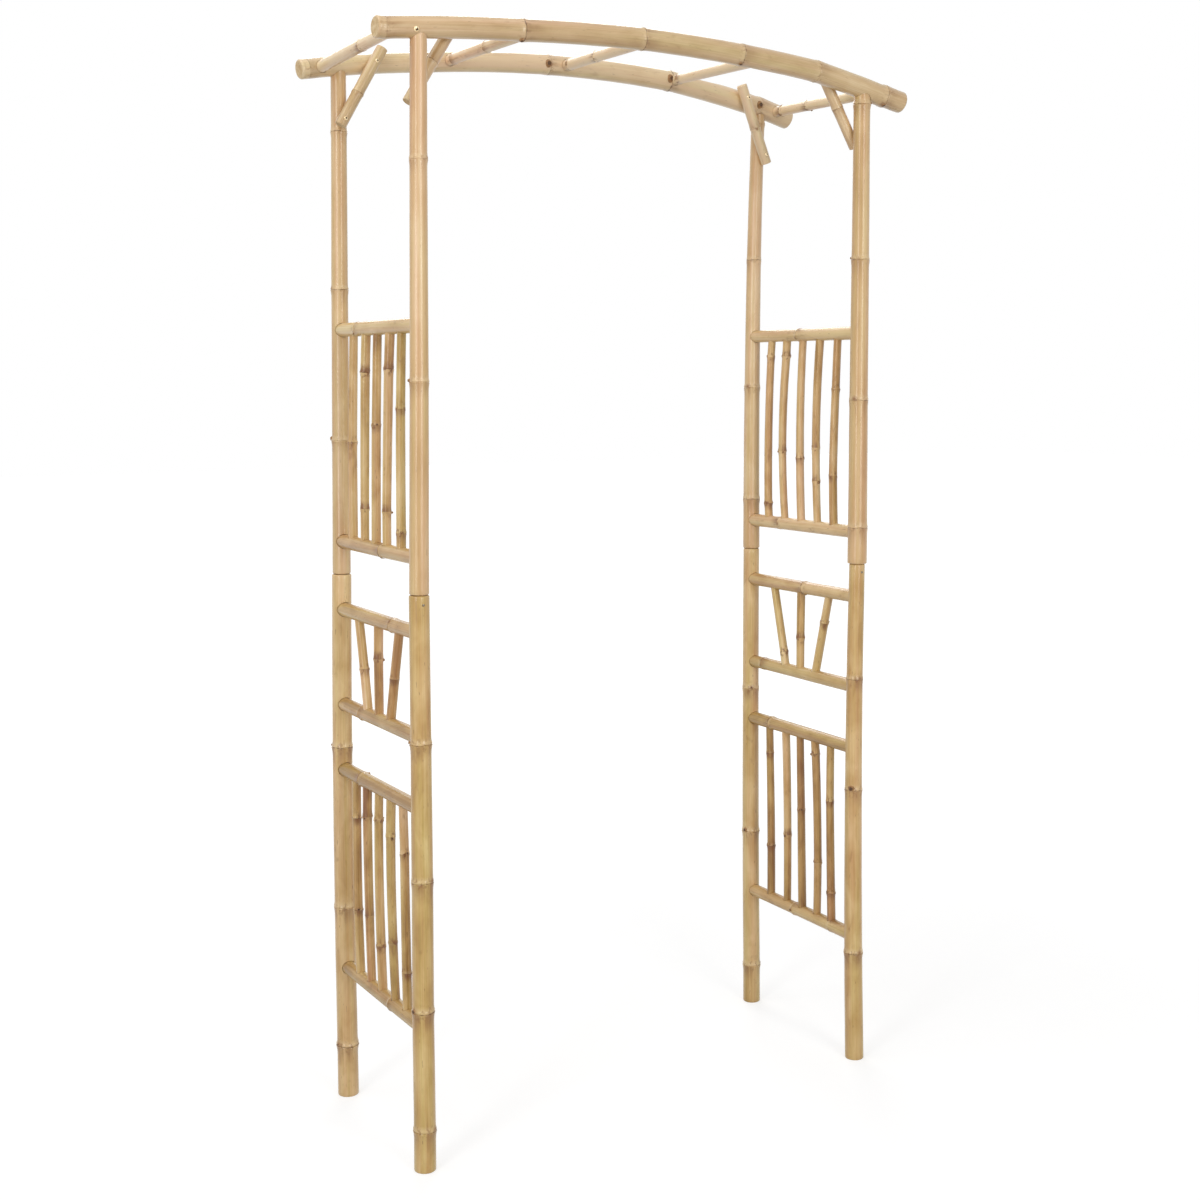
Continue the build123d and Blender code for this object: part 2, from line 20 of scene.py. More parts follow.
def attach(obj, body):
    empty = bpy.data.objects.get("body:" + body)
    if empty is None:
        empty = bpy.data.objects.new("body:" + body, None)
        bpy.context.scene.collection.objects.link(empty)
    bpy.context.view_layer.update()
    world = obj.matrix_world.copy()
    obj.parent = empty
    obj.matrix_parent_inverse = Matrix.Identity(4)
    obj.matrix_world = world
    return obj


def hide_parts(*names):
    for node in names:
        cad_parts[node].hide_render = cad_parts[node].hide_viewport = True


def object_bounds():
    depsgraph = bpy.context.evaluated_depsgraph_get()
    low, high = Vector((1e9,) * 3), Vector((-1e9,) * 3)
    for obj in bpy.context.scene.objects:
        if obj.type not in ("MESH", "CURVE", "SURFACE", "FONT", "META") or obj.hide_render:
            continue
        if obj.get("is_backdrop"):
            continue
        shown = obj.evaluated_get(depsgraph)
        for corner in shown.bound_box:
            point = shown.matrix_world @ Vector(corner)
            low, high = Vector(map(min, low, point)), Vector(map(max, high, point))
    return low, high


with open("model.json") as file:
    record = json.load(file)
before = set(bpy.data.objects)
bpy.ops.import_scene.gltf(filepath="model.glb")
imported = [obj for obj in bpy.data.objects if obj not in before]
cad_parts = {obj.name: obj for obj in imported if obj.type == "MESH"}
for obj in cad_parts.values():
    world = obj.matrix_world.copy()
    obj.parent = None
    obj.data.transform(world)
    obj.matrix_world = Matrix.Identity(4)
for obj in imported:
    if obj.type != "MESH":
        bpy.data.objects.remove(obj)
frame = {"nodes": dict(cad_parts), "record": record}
cad_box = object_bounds()
cad_nodes = frame["nodes"]
body_of = {}
for body, members in frame["record"]["behaviour"]["bodies"].items():
    for member in members:
        body_of[member] = body

# %% [markdown]
# ## Camera
# The arch was taken from its front left corner, at eye height, with a lens shifted down so that every
# post stays upright in the picture. A level camera with a large shift would repeat that, but the shift
# stays in every other view and pushes the roof out of it. So the camera tilts down a little and shifts
# the rest of the way: the posts lean by half a degree at most, and the roof comes into the other views.

# %% The camera
CAMERA_PLACE = (-1.5287, -2.5909, 1.2789)
CAMERA_TURN = 30.59  # degrees to the right of +Y
CAMERA_TILT = 3.26  # degrees down
CAMERA_LENS = 50.01  # millimetres
SENSOR_WIDTH = 36.0  # millimetres
CAMERA_SHIFT = (-0.0115, -0.105)  # shares of the picture's width

camera_data = bpy.data.cameras.new("camera")
camera_data.lens = CAMERA_LENS
camera_data.sensor_width = SENSOR_WIDTH
camera_data.shift_x, camera_data.shift_y = CAMERA_SHIFT
camera = bpy.data.objects.new("camera", camera_data)
camera.location = CAMERA_PLACE
camera.rotation_euler = (math.radians(90 - CAMERA_TILT), 0, math.radians(-CAMERA_TURN))
bpy.context.scene.collection.objects.link(camera)
bpy.context.scene.camera = camera
print("camera at", CAMERA_PLACE, "turned", CAMERA_TURN, "and tilted", CAMERA_TILT, "degrees")

# %% [markdown]
# ## Node helpers
# Materials and Geometry Nodes trees are both graphs of nodes. Five small helpers keep the script readable:
# one adds a node and feeds its sockets, two add maths nodes, and two shape a number, as a bell curve or
# as a smooth step.

# %% Adding nodes


def add_node(tree, kind, feeds=None, **settings):
    """Adds a node, sets its properties, and links or sets the inputs named in feeds."""
    node = tree.nodes.new(kind)
    for name, value in settings.items():
        setattr(node, name, value)
    for key, value in (feeds or {}).items():
        socket = node.inputs[key]
        if isinstance(value, bpy.types.NodeSocket):
            tree.links.new(value, socket)
        else:
            socket.default_value = value
    return node


def calc(tree, operation, *values):
    """The result of a maths node."""
    node = add_node(tree, "ShaderNodeMath", dict(enumerate(values)), operation=operation)
    return node.outputs[0]


def vector_calc(tree, operation, *values):
    """The result of a vector maths node: a number for a dot product or a length."""
    node = add_node(tree, "ShaderNodeVectorMath", dict(enumerate(values)), operation=operation)
    return node.outputs["Value" if operation in ("DOT_PRODUCT", "LENGTH") else "Vector"]


def hump(tree, place, centre, width, height):
    """A bell curve over place, with a given centre, width and height."""
    offset = calc(tree, "DIVIDE", calc(tree, "SUBTRACT", place, centre), width)
    fall = calc(tree, "EXPONENT", calc(tree, "MULTIPLY", calc(tree, "MULTIPLY", offset, offset), -1.0))
    return calc(tree, "MULTIPLY", fall, height)


def slope(tree, place, low, high):
    """0 below low, 1 above high, with a smooth rise between. Low may be the larger one."""
    feeds = {"Value": place, "From Min": low, "From Max": high}
    node = add_node(tree, "ShaderNodeMapRange", feeds, interpolation_type="SMOOTHSTEP", clamp=True)
    return node.outputs["Result"]


print("helpers:", [helper.__name__ for helper in (add_node, calc, vector_calc, hump, slope)])

# %% [markdown]
# ## Reading the culms from the frame
# Each CAD rod is measured like a real pole with a calliper: rays shot inwards from all round meet its
# skin, and a circle through the hits gives the axis and the radius there. Rays that fall into a
# drilled hole are odd ones out, so they are dropped. Rings that are wider than the pole's even taper are
# its nodes. In this way no place or size is copied by hand.

# %% Loose shells of a CAD node
MERGE_GAP = 1e-6


def outer_shells(name):
    """The outer shells of a CAD node, as point arrays and ray trees. Closed hollows are left out."""
    mesh = bmesh.new()
    mesh.from_mesh(cad_nodes[name].data)
    bmesh.ops.remove_doubles(mesh, verts=mesh.verts, dist=MERGE_GAP)
    shells = []
    for first in mesh.verts:
        if first.tag:
            continue
        first.tag = True
        shell, waiting = [], [first]
        while waiting:
            vert = waiting.pop()
            shell.append(vert)
            for edge in vert.link_edges:
                other = edge.other_vert(vert)
                if not other.tag:
                    other.tag = True
                    waiting.append(other)
        shells.append(shell)
    found = []
    for shell in shells:
        points = np.array([vert.co for vert in shell])
        number = {vert: index for index, vert in enumerate(shell)}
        faces = {face for vert in shell for face in vert.link_faces}
        faces = sorted([number[vert] for vert in face.verts] for face in faces)
        found.append((points, BVHTree.FromPolygons([tuple(point) for point in points], faces)))
    mesh.free()
    boxes = [(points.min(0), points.max(0)) for points, rays in found]
    outer = []
    for index, (low, high) in enumerate(boxes):
        inside = [
            np.all(low > other_low) and np.all(high < other_high)
            for number, (other_low, other_high) in enumerate(boxes)
            if number != index
        ]
        if not any(inside):
            outer.append(found[index])
    return outer


print("fan slats:", [len(outer_shells(name)) for name in ("left_fan_slats", "right_fan_slats")], "shells")

# %% Measuring one culm
RAY_COUNT = 24
RAY_START = 0.06  # rays start this far from the axis
STEP = 0.002  # between measured rings
END_SLICE = 0.006  # an end ring lies within this much of the end
END_RINGS = 4  # rings this near to an end are uncertain, so the axis runs straight on there
RING_STRAY = 0.0007  # hits further than this from the middling radius are dropped
TAPER_STRAY = 0.0001  # rings that are this much wider than the taper belong to a node
TAPER_ROUNDS = 12  # of dropping those rings and fitting the taper again
NODE_SHARE = 0.6  # a node's ring rises above this share of the culm's largest rise
LOOK_BACK = 6  # the axis heads on from this many rings before
FIRST_TURN = 3  # but not within the first few rings
CROSS_WAY = (0.3, 0.5, 0.8)  # a direction that no culm runs along


class Culm:
    """A measured culm: its axis points, the distances along it, its even taper and its nodes."""

    def __init__(self, name, points, rays):
        self.name, self.rays = name, rays
        middle = points.mean(0)
        way = np.linalg.svd(points - middle, full_matrices=False)[2][0]
        way *= np.sign(way[np.argmax(abs(way))])
        place = (points - middle) @ way
        start = points[place < place.min() + END_SLICE].mean(0)
        end = points[place > place.max() - END_SLICE].mean(0)
        centres, radii = self.march(rays, way, start, end)
        centres, radii = centres[END_RINGS:-END_RINGS], radii[END_RINGS:-END_RINGS]
        start = self.run_out(points, centres[0], centres[END_RINGS])
        end = self.run_out(points, centres[-1], centres[-1 - END_RINGS])
        self.points = np.vstack([start, centres, end])
        steps = np.linalg.norm(np.diff(self.points, axis=0), axis=1)
        self.along = np.concatenate([[0.0], np.cumsum(steps)])
        self.length = self.along[-1]
        self.find_nodes(self.along[1:-1], radii)

    def run_out(self, points, last, before):
        """The middle of an end face, straight on from the last rings."""
        way = (last - before) / np.linalg.norm(last - before)
        near = points[np.linalg.norm(points - last, axis=1) < RAY_START]
        return last + way * ((near - last) @ way).max()

    def march(self, rays, way, start, end):
        """Axis points and radii from one end to the other."""
        side = np.cross(way, CROSS_WAY)
        side /= np.linalg.norm(side)
        turns = np.arange(RAY_COUNT) * 2 * math.pi / RAY_COUNT
        spokes = np.outer(np.cos(turns), side) + np.outer(np.sin(turns), np.cross(way, side))
        count = int(((end - start) @ way) / STEP)
        heading = way
        centre = start
        centres, radii = [], []
        for index in range(1, count):
            centre = centre + heading * STEP / (heading @ way)
            reach, kept = [], []
            for turn, spoke in zip(turns, spokes):
                distance = rays.ray_cast(Vector(centre + spoke * RAY_START), Vector(-spoke), RAY_START)[3]
                if distance is not None:
                    reach.append(RAY_START - distance)
                    kept.append((1.0, math.cos(turn), math.sin(turn)))
            reach, kept = np.array(reach), np.array(kept)
            near = abs(reach - np.median(reach)) < RING_STRAY
            radius, right, up = np.linalg.lstsq(kept[near], reach[near], rcond=None)[0]
            centre = centre + right * spokes[0] + up * np.cross(way, side)
            centres.append(centre)
            radii.append(radius)
            past = centres[max(0, index - LOOK_BACK)]
            if index > FIRST_TURN:
                heading = (centre - past) / np.linalg.norm(centre - past)
        return np.array(centres), np.array(radii)

    def find_nodes(self, along, radii):
        """The even taper under the swellings, then the middles of the swellings."""
        even = np.ones(len(radii), bool)
        for attempt in range(TAPER_ROUNDS):
            self.taper = np.polyfit(along[even], radii[even], 1)
            rise = radii - np.polyval(self.taper, along)
            even = rise < TAPER_STRAY
        self.nodes = []
        crest = rise > NODE_SHARE * rise.max()
        edges = np.flatnonzero(np.diff(np.concatenate([[0], crest.astype(int), [0]])))
        for first, last in zip(edges[::2], edges[1::2]):
            self.nodes.append((along[first] + along[last - 1]) / 2)

    def girth(self, along):
        """Bare radius of the tapering culm."""
        return np.polyval(self.taper, along)

    def centre(self, along):
        """Point on the axis."""
        return np.array([np.interp(along, self.along, self.points[:, axis]) for axis in range(3)])

    def heading(self, along):
        """Direction of the axis."""
        reach = 3 * STEP
        low, high = max(along - reach, 0), min(along + reach, self.length)
        way = self.centre(high) - self.centre(low)
        return way / np.linalg.norm(way)


print("a ring every", 1000 * STEP, "mm, each from", RAY_COUNT, "rays")

# %% Measure them all
FASTENED = ("screws", "nails", "spigots")
culms = {}
for name in sorted(cad_nodes):
    if not name.endswith(FASTENED):
        culms[name] = [Culm(name, *shell) for shell in outer_shells(name)]
everyone = [culm for group in culms.values() for culm in group]
print(len(everyone), "culms with", sum(len(culm.nodes) for culm in everyone), "nodes")

# %% [markdown]
# ## Where a culm ends in another
# Rungs, slats and post tops are tenons: their ends sit in holes drilled to the axis of a thicker pole.
# A culm's end that lies well inside another culm tells where that hole is, how wide and how deep. At the
# open ends, a ray along the axis measures the hollow, which is the bore of a spigot at a slip joint. All
# these holes are cut later, so that each joint has its true dark outline, and the lifted head shows real
# bores. A painted ring would be simpler, but it would show as soon as the arch is taken apart.

# %% Find the drilled holes
TENON_FIT = 0.0006  # round a tenon
TENON_ROOM = 0.0008  # past a tenon's tip
LEAST_HOLLOW = 0.003  # a shallower hollow at an open end is none
DRILL_OVERSHOOT = 0.006  # drills start this far outside the culm
INSIDE_SHARE = 0.6  # a tenon's tip is nearer to its host's axis than this share of the radius
HOST_MARGIN = 0.01  # and this far from the host's ends


class Drill:
    """A round cutter from its bottom, along a direction."""

    def __init__(self, bottom, way, radius, depth):
        self.bottom, self.way, self.radius, self.depth = bottom, way, radius, depth


def host_of(tip, own):
    """The culm whose axis a tip reaches, with the distance along it."""
    for other in everyone:
        if other is own:
            continue
        gaps = np.linalg.norm(other.points - tip, axis=1)
        along = other.along[gaps.argmin()]
        deep = gaps.min() < INSIDE_SHARE * other.girth(along)
        if deep and HOST_MARGIN < along < other.length - HOST_MARGIN:
            return other, along
    return None, None


for culm in everyone:
    culm.drills = []
    culm.open_ends = []
for culm in everyone:
    for along, inward in ((0.0, 1), (culm.length, -1)):
        tip = culm.centre(along)
        host, place = host_of(tip, culm)
        if host is None:
            culm.open_ends.append(along)
            continue
        way = culm.heading(along) * inward
        depth = host.girth(place) + np.linalg.norm(host.centre(place) - tip) + DRILL_OVERSHOOT
        radius = culm.girth(along) + TENON_FIT
        host.drills.append(Drill(tip - way * TENON_ROOM, way, radius, depth))
print(sum(len(culm.drills) for culm in everyone), "holes for tenons")

# %% Find the open hollows


def hollow_at(culm, end):
    """The hollow at an open end, as a cutter, or None where the end is solid."""
    outward = culm.heading(end) * (1 if end else -1)
    mouth = culm.centre(end)
    depth = culm.rays.ray_cast(Vector(mouth + outward * RAY_START), Vector(-outward))[3] - RAY_START
    if depth < LEAST_HOLLOW:
        return None
    spoke = Vector(outward).orthogonal().normalized()
    inside = Vector(mouth - outward * LEAST_HOLLOW)
    radius = sum(culm.rays.ray_cast(inside, way)[3] for way in (spoke, -spoke)) / 2
    return Drill(mouth - outward * depth, outward, radius, depth + DRILL_OVERSHOOT)


for culm in everyone:
    hollows = [hollow_at(culm, end) for end in culm.open_ends]
    culm.drills += [hollow for hollow in hollows if hollow is not None]
open_count = sum(len(culm.open_ends) for culm in everyone)
print(open_count, "open ends;", sum(len(culm.drills) for culm in everyone), "holes with their hollows")

# %% [markdown]
# ## Guides
# A guide is a chain of points along a culm's axis. Each point carries what the growing rule needs: the
# bare radius, the distance to the nearest node, the tone of that internode and the side on which the
# node's bud sits. Points stand close together at the nodes, where the shape turns quickly, and far apart
# between them. A real culm bends a little at every node, so the axis sways there by about a millimetre.

# %% Growing habits
RING_STEP = 0.008  # between rings, away from the nodes
LEAST_RING_STEP = 0.0002
SWITCH_STEP = 0.00015  # half the step in which the nearest node changes from one to the next
NODE_MARKS = (0, 0.012, 0.024, 0.04, 0.06, 0.085, 0.115, 0.15, 0.2, 0.27, 0.36, 0.48)  # in diameters
END_MARKS = (0.0004, 0.0009, 0.0018)  # rings that round the rim of an end
NODE_FAR = 4.0  # the node distance where a culm has no node, in diameters
PATTERN_SHIFT = 3.7  # moves the grain pattern on from one culm to the next
JOINT_GAP = 0.0014  # the dark line that stays open at a slip joint
LINE_STRENGTHS = (0.25, 0.6, 0.8, 1.0)  # how dark the line of a node may be


class Habit:
    """How one kind of culm grows: its sway and swelling at nodes, its buds, knobs and tones."""

    def __init__(self, sides, sway, swell, bud_share, bud_size, knobs, tone, spread, hue):
        self.sides, self.sway, self.swell = sides, sway, swell
        self.bud_share, self.bud_size, self.knobs = bud_share, bud_size, knobs
        self.tone, self.spread, self.hue = tone, spread, hue


RINGED = (0.072, 0.21)  # a node's rise in girths and its width in diameters, on the thick poles
LOW_RINGED = (0.05, 0.21)  # on the beams, whose nodes hardly stand out
KNUCKLED = (0.11, 0.31)  # and on the thin slats, whose nodes are swollen knuckles
HABITS = {  # sides, sway, swelling, share and size of buds, knobs, tone, spread of tones, hue
    "lower_post": Habit(48, 0.0006, RINGED, 0.0, 0.0030, 0.03, 0.50, 0.14, 0.15),
    "upper_post": Habit(48, 0.0006, RINGED, 0.0, 0.0030, 0.03, 0.45, 0.14, -0.1),
    "beam": Habit(52, 0.0008, LOW_RINGED, 0.0, 0.0034, 0.03, 0.45, 0.10, 0.0),
    "rung": Habit(36, 0.0006, RINGED, 0.5, 0.0024, 0.06, 0.45, 0.14, 0.05),
    "slat": Habit(28, 0.0013, KNUCKLED, 0.8, 0.0026, 0.24, 0.55, 0.30, 0.0),
    "slats": Habit(28, 0.0008, KNUCKLED, 0.7, 0.0024, 0.18, 0.55, 0.26, -0.1),
    "brace": Habit(32, 0.0004, RINGED, 0.4, 0.0022, 0.08, 0.45, 0.12, 0.0),
    "roof_rung": Habit(32, 0.0008, RINGED, 0.6, 0.0024, 0.08, 0.34, 0.12, -0.2),
}


def habit_of(name):
    """The habit whose words are in a node's name, the longest words first."""
    for words in sorted(HABITS, key=len, reverse=True):
        if words in name:
            return HABITS[words]
    raise KeyError(name)


print(len(HABITS), "growing habits")

# %% [markdown]
# Some things are chosen one by one from the photograph: how brown and how green each pole is, and
# where the larger buds of the posts and beams sit. Everything else about a culm is drawn by lot, with a
# seed of its own, so that it comes out the same every time.

# %% Tones and buds, chosen one by one
PICKED_TONES = {  # tone from 0 pale to 1 dark, and hue from -1 red to 1 olive, in the order of their numbers
    "left_upper_slat": ((0.36, -0.1), (0.36, 0.2), (0.51, 0.3), (0.42, -0.1), (0.36, 0.8)),
    "right_upper_slat": ((0.44, 0.1), (0.46, -0.3), (0.33, -0.4), (0.50, 0.3), (0.53, 0.0)),
    "left_lower_slat": ((0.62, 0.2), (0.62, -0.3), (0.45, 0.2), (0.63, 0.3), (0.46, -0.1)),
    "right_lower_slat": ((0.64, 0.2), (0.50, -0.1), (0.73, 0.2), (0.73, -0.3), (0.58, 0.0)),
    "left_lower_rung": ((0.82, 0.5), (0.86, 0.2), (0.70, 0.0), (0.70, 0.1)),
    "right_lower_rung": ((0.57, 0.1), (0.70, 0.1), (0.40, 0.2), (0.38, -0.1)),
    "left_upper_rung": ((0.58, -0.1), (0.30, 0.1)),
    "right_upper_rung": ((0.08, -0.3), (0.22, 0.0)),
    # the roof rungs' tones are partly their pale straw and partly painted light from above
    "roof_rung": ((0.12, 0.0), (0.30, -0.4), (0.06, -0.3), (0.00, -0.2), (0.02, 0.2)),
    "front_left_lower_post": ((0.55, 0.2),),
    "back_left_lower_post": ((0.32, -0.2),),
    "front_right_lower_post": ((0.45, -0.1),),
    "back_right_lower_post": ((0.36, -0.1),),
    "front_left_upper_post": ((0.50, 0.1),),
    "back_left_upper_post": ((0.49, 0.1),),
    "front_right_upper_post": ((0.58, 0.2),),
    "back_right_upper_post": ((0.48, 0.0),),
    "front_beam": ((0.46, 0.1),),
    "back_beam": ((0.12, 0.0),),
    "front_left_brace": ((0.40, 0.3),),
    "back_right_brace": ((0.05, -0.3),),
    "left_fan_slats": ((0.45, -0.3),),
    "right_fan_slats": ((0.34, 0.5),),
}
view_turn = math.radians(CAMERA_TURN)
FACING = np.array([-math.sin(view_turn), -math.cos(view_turn), 0.0])
LEFTWARD = np.array([-math.cos(view_turn), math.sin(view_turn), 0.0])
FRONTWARD = np.array([0.0, -1.0, 0.0])
DOWNWARD = np.array([0.0, 0.0, -1.0])
CHOSEN_BUDS = {  # number of the node from the lower or left end: direction, and size against the habit's own
    "front_left_upper_post": {0: (LEFTWARD + 0.3 * FACING, 1.0)},
    "back_left_upper_post": {0: (LEFTWARD, 1.5)},
    "front_left_lower_post": {1: (LEFTWARD + 0.9 * FACING, 1.4), 3: (LEFTWARD + 0.2 * FACING, 1.0)},
    "back_left_lower_post": {0: (LEFTWARD + FACING, 0.8), 2: (LEFTWARD, 0.8)},
    "front_right_upper_post": {2: (LEFTWARD, 0.9), 3: (-LEFTWARD, 0.8)},
    "front_right_lower_post": {1: (FACING + 0.4 * LEFTWARD, 1.8)},
    "back_right_lower_post": {1: (FACING + LEFTWARD, 1.5), 2: (FACING, 0.6)},
    "front_beam": {number: (DOWNWARD + 0.5 * FRONTWARD, 1.2) for number in (1, 3, 5)},
    "back_beam": {number: (FRONTWARD, 1.9) for number in range(1, 5)},
}
GROWTH = {"front_beam": -1, "back_beam": -1}  # these two grew towards their left ends
CLOSED_ENDS = {"front_beam": 0.35, "back_beam": 0.12}  # how strong the node beside the closed left end is
HUE_SPREAD = 0.3  # either way, where the hue is drawn by lot


def tone_of(culm, habit, dice):
    """Tone and hue of a culm."""
    if culm.name in PICKED_TONES:
        return PICKED_TONES[culm.name][0]
    family, number = culm.name.rsplit("_", 1)
    if family in PICKED_TONES:
        return PICKED_TONES[family][int(number) - 1]
    tone = habit.tone + dice.uniform(-1, 1) * habit.spread / 2
    return tone, habit.hue + dice.uniform(-HUE_SPREAD, HUE_SPREAD)


print(sum(len(buds) for buds in CHOSEN_BUDS.values()), "buds placed by hand")

# %% The rings of one culm
STEEP = 0.7  # a culm that rises more than this share of its length counts as upright
NODE_STRENGTHS = (0.55, 1.15)  # the least and the most that a node stands out
RING, DRILL, STUB = 0, 1, 2  # kinds of guide points


def ring_marks(culm):
    """Distances along a culm at which it gets a ring."""
    first = JOINT_GAP if "upper_post" in culm.name else 0.0
    marks = list(np.arange(first, culm.length, RING_STEP)) + [culm.length]
    for node in culm.nodes:
        diameter = 2 * culm.girth(node)
        marks += [node + sign * mark * diameter for mark in NODE_MARKS for sign in (-1, 1)]
    for lower, upper in zip(culm.nodes, culm.nodes[1:]):
        marks += [(lower + upper) / 2 - SWITCH_STEP, (lower + upper) / 2 + SWITCH_STEP]
    for mark in END_MARKS:
        marks += [first + mark, culm.length - mark]
    marks = sorted(mark for mark in marks if first < mark <= culm.length)
    spaced = [first]
    for mark in marks:
        if mark - spaced[-1] > LEAST_RING_STEP:
            spaced.append(mark)
    spaced[-1] = culm.length
    return np.array(spaced)


def swayed(culm, marks, sway, dice):
    """Axis points, moved a little sideways at each node and straight between them."""
    points = np.array([culm.centre(mark) for mark in marks])
    bends = np.zeros((len(culm.nodes) + 2, 3))
    for number in range(len(culm.nodes)):
        bends[number + 1] = [dice.uniform(-sway, sway) for axis in range(3)]
    turns = np.concatenate([[0.0], culm.nodes, [culm.length]])
    offsets = np.array([np.interp(marks, turns, bends[:, axis]) for axis in range(3)]).T
    run = culm.points[-1] - culm.points[0]
    run /= np.linalg.norm(run)
    offsets -= np.outer(offsets @ run, run)
    return points + offsets


def bud_turns(culm, dice, side, across):
    """The angle of each node's bud about the axis. Buds change sides from node to node."""
    first = dice.uniform(0, 2 * math.pi)
    turns = [first + math.pi * number for number in range(len(culm.nodes))]
    for number, (facing, scale) in CHOSEN_BUDS.get(culm.name, {}).items():
        turns[number] = math.atan2(facing @ across, facing @ side)
    return turns


def ring_rows(culm, habit, number):
    """What the growing rule needs at each ring of a culm, and the bud angles of its nodes."""
    dice = random.Random(f"{culm.name} {number}")
    marks = ring_marks(culm)
    points = swayed(culm, marks, habit.sway, dice)
    way = (points[-1] - points[0]) / np.linalg.norm(points[-1] - points[0])
    side = np.cross(way, [0, 0, 1.0]) if abs(way[2]) < STEEP else np.cross(way, [0, 1.0, 0])
    side /= np.linalg.norm(side)
    turns = bud_turns(culm, dice, side, np.cross(way, side))
    tone, hue = tone_of(culm, habit, dice)
    tones = [tone + dice.uniform(-1, 1) * habit.spread / 2 for internode in range(len(turns) + 1)]
    strengths = [dice.uniform(*NODE_STRENGTHS) for turn in turns]
    lines = [dice.choice(LINE_STRENGTHS) for turn in turns]
    shades = random.Random(f"{culm.name} {number} hue")
    hues = [hue + shades.uniform(-1, 1) * habit.spread for internode in range(len(turns) + 1)]
    if culm.name in CLOSED_ENDS:
        strengths[0] = CLOSED_ENDS[culm.name]
    growth = GROWTH.get(culm.name, 1 if culm.taper[0] <= 0 else -1)
    rows = []
    for mark, point in zip(marks, points):
        girth = culm.girth(mark)
        internode = sum(mark > node for node in culm.nodes)
        row = {
            "axis_point": point, "way": way, "side": side, "girth": girth, "hue": hues[internode],
            "tone": tones[internode], "along": mark + number * PATTERN_SHIFT,
            "end_gap": min(mark - marks[0], culm.length - mark), "size": np.zeros(3), "kind": RING,
            "node_gap": NODE_FAR, "node_size": 0.0, "bud_turn": 0.0, "line": 0.0,
        }
        if culm.nodes:
            nearest = int(np.argmin([abs(node - mark) for node in culm.nodes]))
            row["node_gap"] = growth * (mark - culm.nodes[nearest]) / (2 * girth)
            row["node_size"], row["bud_turn"] = strengths[nearest], turns[nearest]
            row["line"] = lines[nearest]
        rows.append(row)
    return rows, turns, growth, dice


print("sample:", len(ring_marks(everyone[0])), "rings on", everyone[0].name)

# %% Guides as meshes
STUB_GAP = 0.10  # a bud stands this far above its node's line, in diameters
BUD_LIFT = 0.08  # how far the swollen node lifts a bud, in girths
BUD_ROOM = 0.9  # and at least this much of its own size above the line
BUD_SCALES = (0.7, 1.1)  # the least and the most of the habit's size, for buds set by lot
VECTOR_NAMES = ("axis_point", "way", "side", "size")
NUMBER_NAMES = ("girth", "node_gap", "node_size", "bud_turn", "line", "tone", "hue", "along", "end_gap")


def loose_row(kind, point, way, size):
    """A guide point that stands for a drill or a bud."""
    row = {name: np.zeros(3) for name in VECTOR_NAMES} | {name: 0.0 for name in NUMBER_NAMES}
    row.update(axis_point=point, way=way, size=size, kind=kind)
    return row


def drill_rows(culm):
    """Cutters for a culm's drilled holes and the hollows of its open ends."""
    rows = []
    for drill in culm.drills:
        size = np.array([drill.radius, drill.radius, drill.depth])
        rows.append(loose_row(DRILL, drill.bottom + drill.way * drill.depth / 2, drill.way, size))
    return rows


def stub_rows(culm, habit, turns, growth, dice, side, way):
    """Trimmed branch buds: the chosen ones, and others by lot."""
    rows = []
    across = np.cross(way, side)
    chosen = CHOSEN_BUDS.get(culm.name, {})
    for number, (node, turn) in enumerate(zip(culm.nodes, turns)):
        if number not in chosen and dice.random() > habit.bud_share:
            continue
        scale = habit.bud_size * (chosen[number][1] if number in chosen else dice.uniform(*BUD_SCALES))
        place = node + growth * max(STUB_GAP * 2 * culm.girth(node), BUD_ROOM * scale)
        if not 2 * HOST_MARGIN < place < culm.length - 2 * HOST_MARGIN:
            continue
        outward = math.cos(turn) * side + math.sin(turn) * across
        point = culm.centre(place) + outward * culm.girth(place) * (1 + BUD_LIFT)
        rows.append(loose_row(STUB, point, outward, np.array([scale, scale, habit.bud_size])))
    return rows


def guide_mesh(name):
    """The guide of one piece: chains of ring points, and loose points for drills and buds."""
    habit = habit_of(name)
    rows, chains = [], []
    for culm in culms[name]:
        rings, turns, growth, dice = ring_rows(culm, habit, everyone.index(culm))
        chains += [(len(rows) + step, len(rows) + step + 1) for step in range(len(rings) - 1)]
        rows += rings
        rows += drill_rows(culm)
        rows += stub_rows(culm, habit, turns, growth, dice, rings[0]["side"], rings[0]["way"])
    mesh = bpy.data.meshes.new(name + "_guide")
    mesh.from_pydata([tuple(row["axis_point"]) for row in rows], chains, [])
    for title in VECTOR_NAMES:
        store = mesh.attributes.new(title, "FLOAT_VECTOR", "POINT")
        store.data.foreach_set("vector", np.array([row[title] for row in rows], np.float32).ravel())
    for title in NUMBER_NAMES:
        store = mesh.attributes.new(title, "FLOAT", "POINT")
        store.data.foreach_set("value", np.array([row[title] for row in rows], np.float32))
    store = mesh.attributes.new("kind", "INT", "POINT")
    store.data.foreach_set("value", np.array([row["kind"] for row in rows], np.int32))
    return mesh


guides = {name: guide_mesh(name) for name in culms}
print(sum(len(mesh.vertices) for mesh in guides.values()), "guide points in", len(guides), "guides")

# %% [markdown]
# ## The growing rule
# A culm is a tube along its guide. At each node it follows a rule: a broad swelling, the thin ring that
# the leaf sheath leaves, a groove just above it and a low ridge above that. Each pole could be sculpted by
# hand, but Geometry Nodes suits this well, because one tree with named sizes grows every pole of the arch.
# No node is a true ring, so its line wanders up and down and its skin is knobbly. The tree also cuts the
# drilled holes, sets the trimmed buds, and stores where each corner lies on its culm, for the materials.

